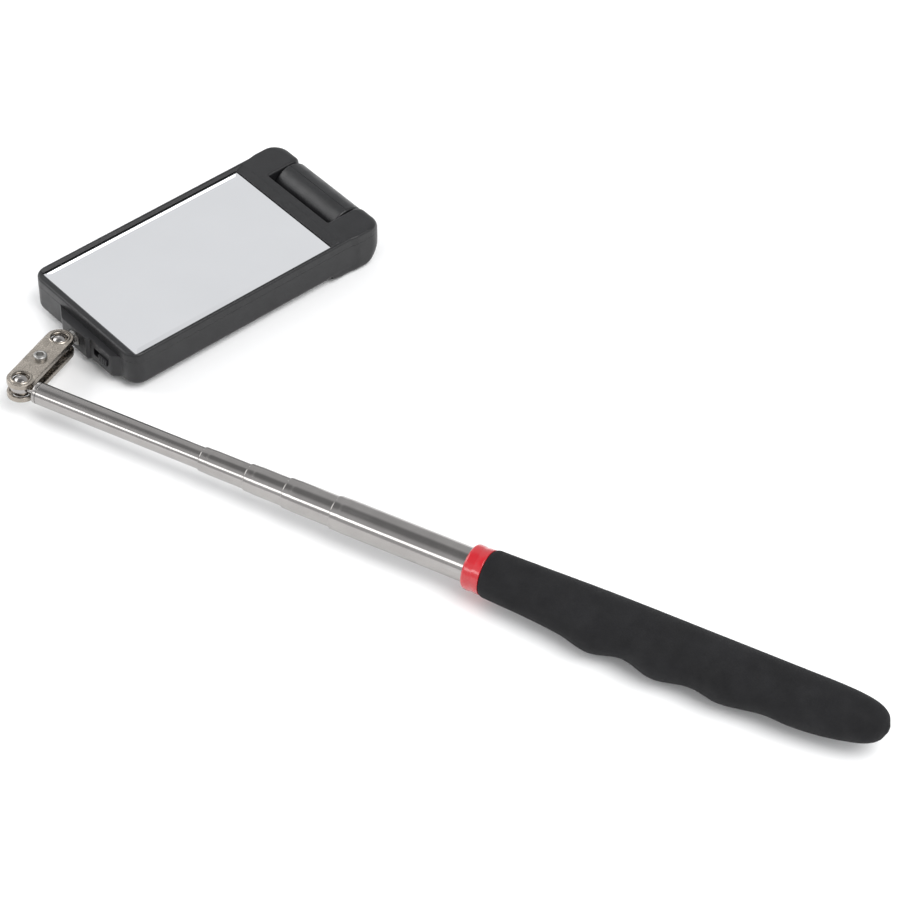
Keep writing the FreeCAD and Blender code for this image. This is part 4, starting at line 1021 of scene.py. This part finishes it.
def lamp_window():
    """The clear window: a stretch of a thin tube with rounded corners."""
    window = Span("lamp_window", LAMP)
    outside, wall = BARREL_RADIUS - 0.1, 1.1
    low, high = window.low.y - 1, window.high.y + 1
    profile = [(low, outside - wall), (low, outside), (high, outside), (high, outside - wall)]
    pane = lathe("lamp_window", LAMP, profile, axis="y", segments=192)
    keep = block("cutter", LAMP, (WINDOW_DEPTH, window.low.y, window.low.z),
                 (outside + 2, window.high.y, window.high.z), 0.5)
    boolean(pane, "INTERSECT", keep)
    finish_piece(pane, "lamp", "clear_plastic", "lamp_window")


def lamp_leds():
    """The two LEDs: a flanged can with a round dome each."""
    span = Span("lamp_leds", LAMP)
    radius, base = span.size.z / 2, span.low.x
    flange, flange_depth, can = radius + 0.3, 0.8, span.high.x - radius
    profile = [(base, 0), (base, flange), (base + flange_depth, flange), (base + flange_depth + 0.1, radius)]
    profile += arc((can, 0), radius, 90, 0, 10)[:-1] + [(span.high.x, 0)]
    made = [lathe("lamp_leds", LAMP @ Matrix.Translation((0, y, span.middle.z)), profile, closed=False,
                  segments=48) for y in (span.low.y + radius, span.high.y - radius)]
    finish_piece(joined(*made), "lamp", "led", "lamp_leds")


# ---------------------------------------------------------------- CAD pieces that stay


def finish_cad_nodes():
    """Give the inner pieces that stay as CAD nodes the material of their slot."""
    for row in frame["record"]["subparts"]:
        node = frame["nodes"][row["node"]]
        if node.hide_render:
            continue
        node.data.materials.clear()
        node.data.materials.append(MATERIALS[row["material_slot"]])


# ---------------------------------------------------------------- studio


def floor_material():
    """Pale seamless paper."""
    nodes = Nodes("studio_paper")
    shade = nodes.ramp(nodes.noise(6, 4.0), 0.3, 0.7)
    nodes.link(nodes.mix(shade, (0.93, 0.93, 0.93), (0.95, 0.95, 0.95)), nodes.shader.inputs["Base Color"])
    nodes.shader.inputs["Roughness"].default_value = 0.9
    nodes.shader.inputs["Specular IOR Level"].default_value = 0.1
    nodes.bump(nodes.noise(900, 2.0), 0.00001)
    return nodes.material


def direction(azimuth, elevation):
    """Unit vector from the object, azimuth from -Y towards +X, in degrees."""
    a, e = math.radians(azimuth), math.radians(elevation)
    return Vector((math.sin(a) * math.cos(e), -math.cos(a) * math.cos(e), math.sin(e)))


def area_light(name, centre, azimuth, elevation, distance, size, power):
    """A soft rectangular light, aimed at centre."""
    data = bpy.data.lights.new(name, "AREA")
    data.shape = "RECTANGLE"
    data.size, data.size_y = size
    data.energy = power
    light = bpy.data.objects.new(name, data)
    light.location = centre + direction(azimuth, elevation) * distance
    light.rotation_euler = (centre - light.location).to_track_quat("-Z", "Y").to_euler()
    bpy.context.scene.collection.objects.link(light)
    light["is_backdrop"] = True


def make_floor(height):
    """A wide floor just under the object."""
    reach, gap = 3.0, 0.0002
    corners = [(-reach, -reach), (reach, -reach), (reach, reach), (-reach, reach)]
    vertices = [(x, y, height - gap) for x, y in corners]
    floor = mesh_piece("floor", Matrix.Identity(4), vertices, [(0, 1, 2, 3)])
    floor.data.materials.append(floor_material())
    floor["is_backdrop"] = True


def make_background():
    """An even pale background that dims towards the ceiling."""
    world = bpy.data.worlds.new("studio")
    world.use_nodes = True
    tree = world.node_tree
    background = tree.nodes["Background"]
    background.inputs["Color"].default_value = (0.975, 0.985, 1.0, 1)
    height = tree.nodes.new("ShaderNodeSeparateXYZ")
    tree.links.new(tree.nodes.new("ShaderNodeTexCoord").outputs["Generated"], height.inputs["Vector"])
    dimmer = tree.nodes.new("ShaderNodeMapRange")
    horizon, ceiling = 0.76, 0.30
    for key, number in (("From Min", 0.80), ("From Max", 0.90), ("To Min", horizon), ("To Max", ceiling)):
        dimmer.inputs[key].default_value = number
    tree.links.new(height.outputs["Z"], dimmer.inputs["Value"])
    tree.links.new(dimmer.outputs["Result"], background.inputs["Strength"])
    bpy.context.scene.world = world


def make_camera(centre):
    """The camera, which looks down on the object from its front right."""
    azimuth, elevation, distance = 28.978, 44.518, 1.2019
    aim = centre + Vector((-0.0033, -0.0302, 0.0061))
    data = bpy.data.cameras.new("camera")
    data.sensor_width = 36
    data.lens = 140
    camera = bpy.data.objects.new("camera", data)
    camera.location = aim + direction(azimuth, elevation) * distance
    camera.rotation_euler = direction(azimuth, elevation).to_track_quat("Z", "Y").to_euler()
    bpy.context.scene.collection.objects.link(camera)
    bpy.context.scene.camera = camera


def studio():
    """Floor, background, lights and camera."""
    low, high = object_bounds()
    centre = (low + high) / 2
    make_floor(low.z)
    make_background()
    area_light("key", centre, -22, 26, 1.6, (0.9, 0.3), 3.2)
    area_light("fill_right", centre, 75, 60, 1.8, (1.2, 1.2), 26)
    area_light("fill_left", centre, -85, 35, 1.8, (1.2, 1.0), 12)
    area_light("edge", centre, 225, 26, 1.7, (0.36, 0.2), 0.5)
    bpy.context.scene.view_settings.view_transform = "Standard"
    make_camera(centre)


# ---------------------------------------------------------------- build

mast_tube(1, "handle")
for section in range(2, SECTIONS + 1):
    mast_tube(section, f"section_{section}")
    guide_bush(section, f"section_{section}")
handle_plug()
grip_collar()
grip()
mast_tip()
link_plate("link_plate_top", 1)
link_plate("link_plate_bottom", -1)
link_screw()
link_nut()
rear_case()
front_bezel()
mirror_glass()
head_stem()
back_screws()
battery_door()
switch_knob()
lamp_barrel()
lamp_window()
lamp_leds()
finish_cad_nodes()
studio()
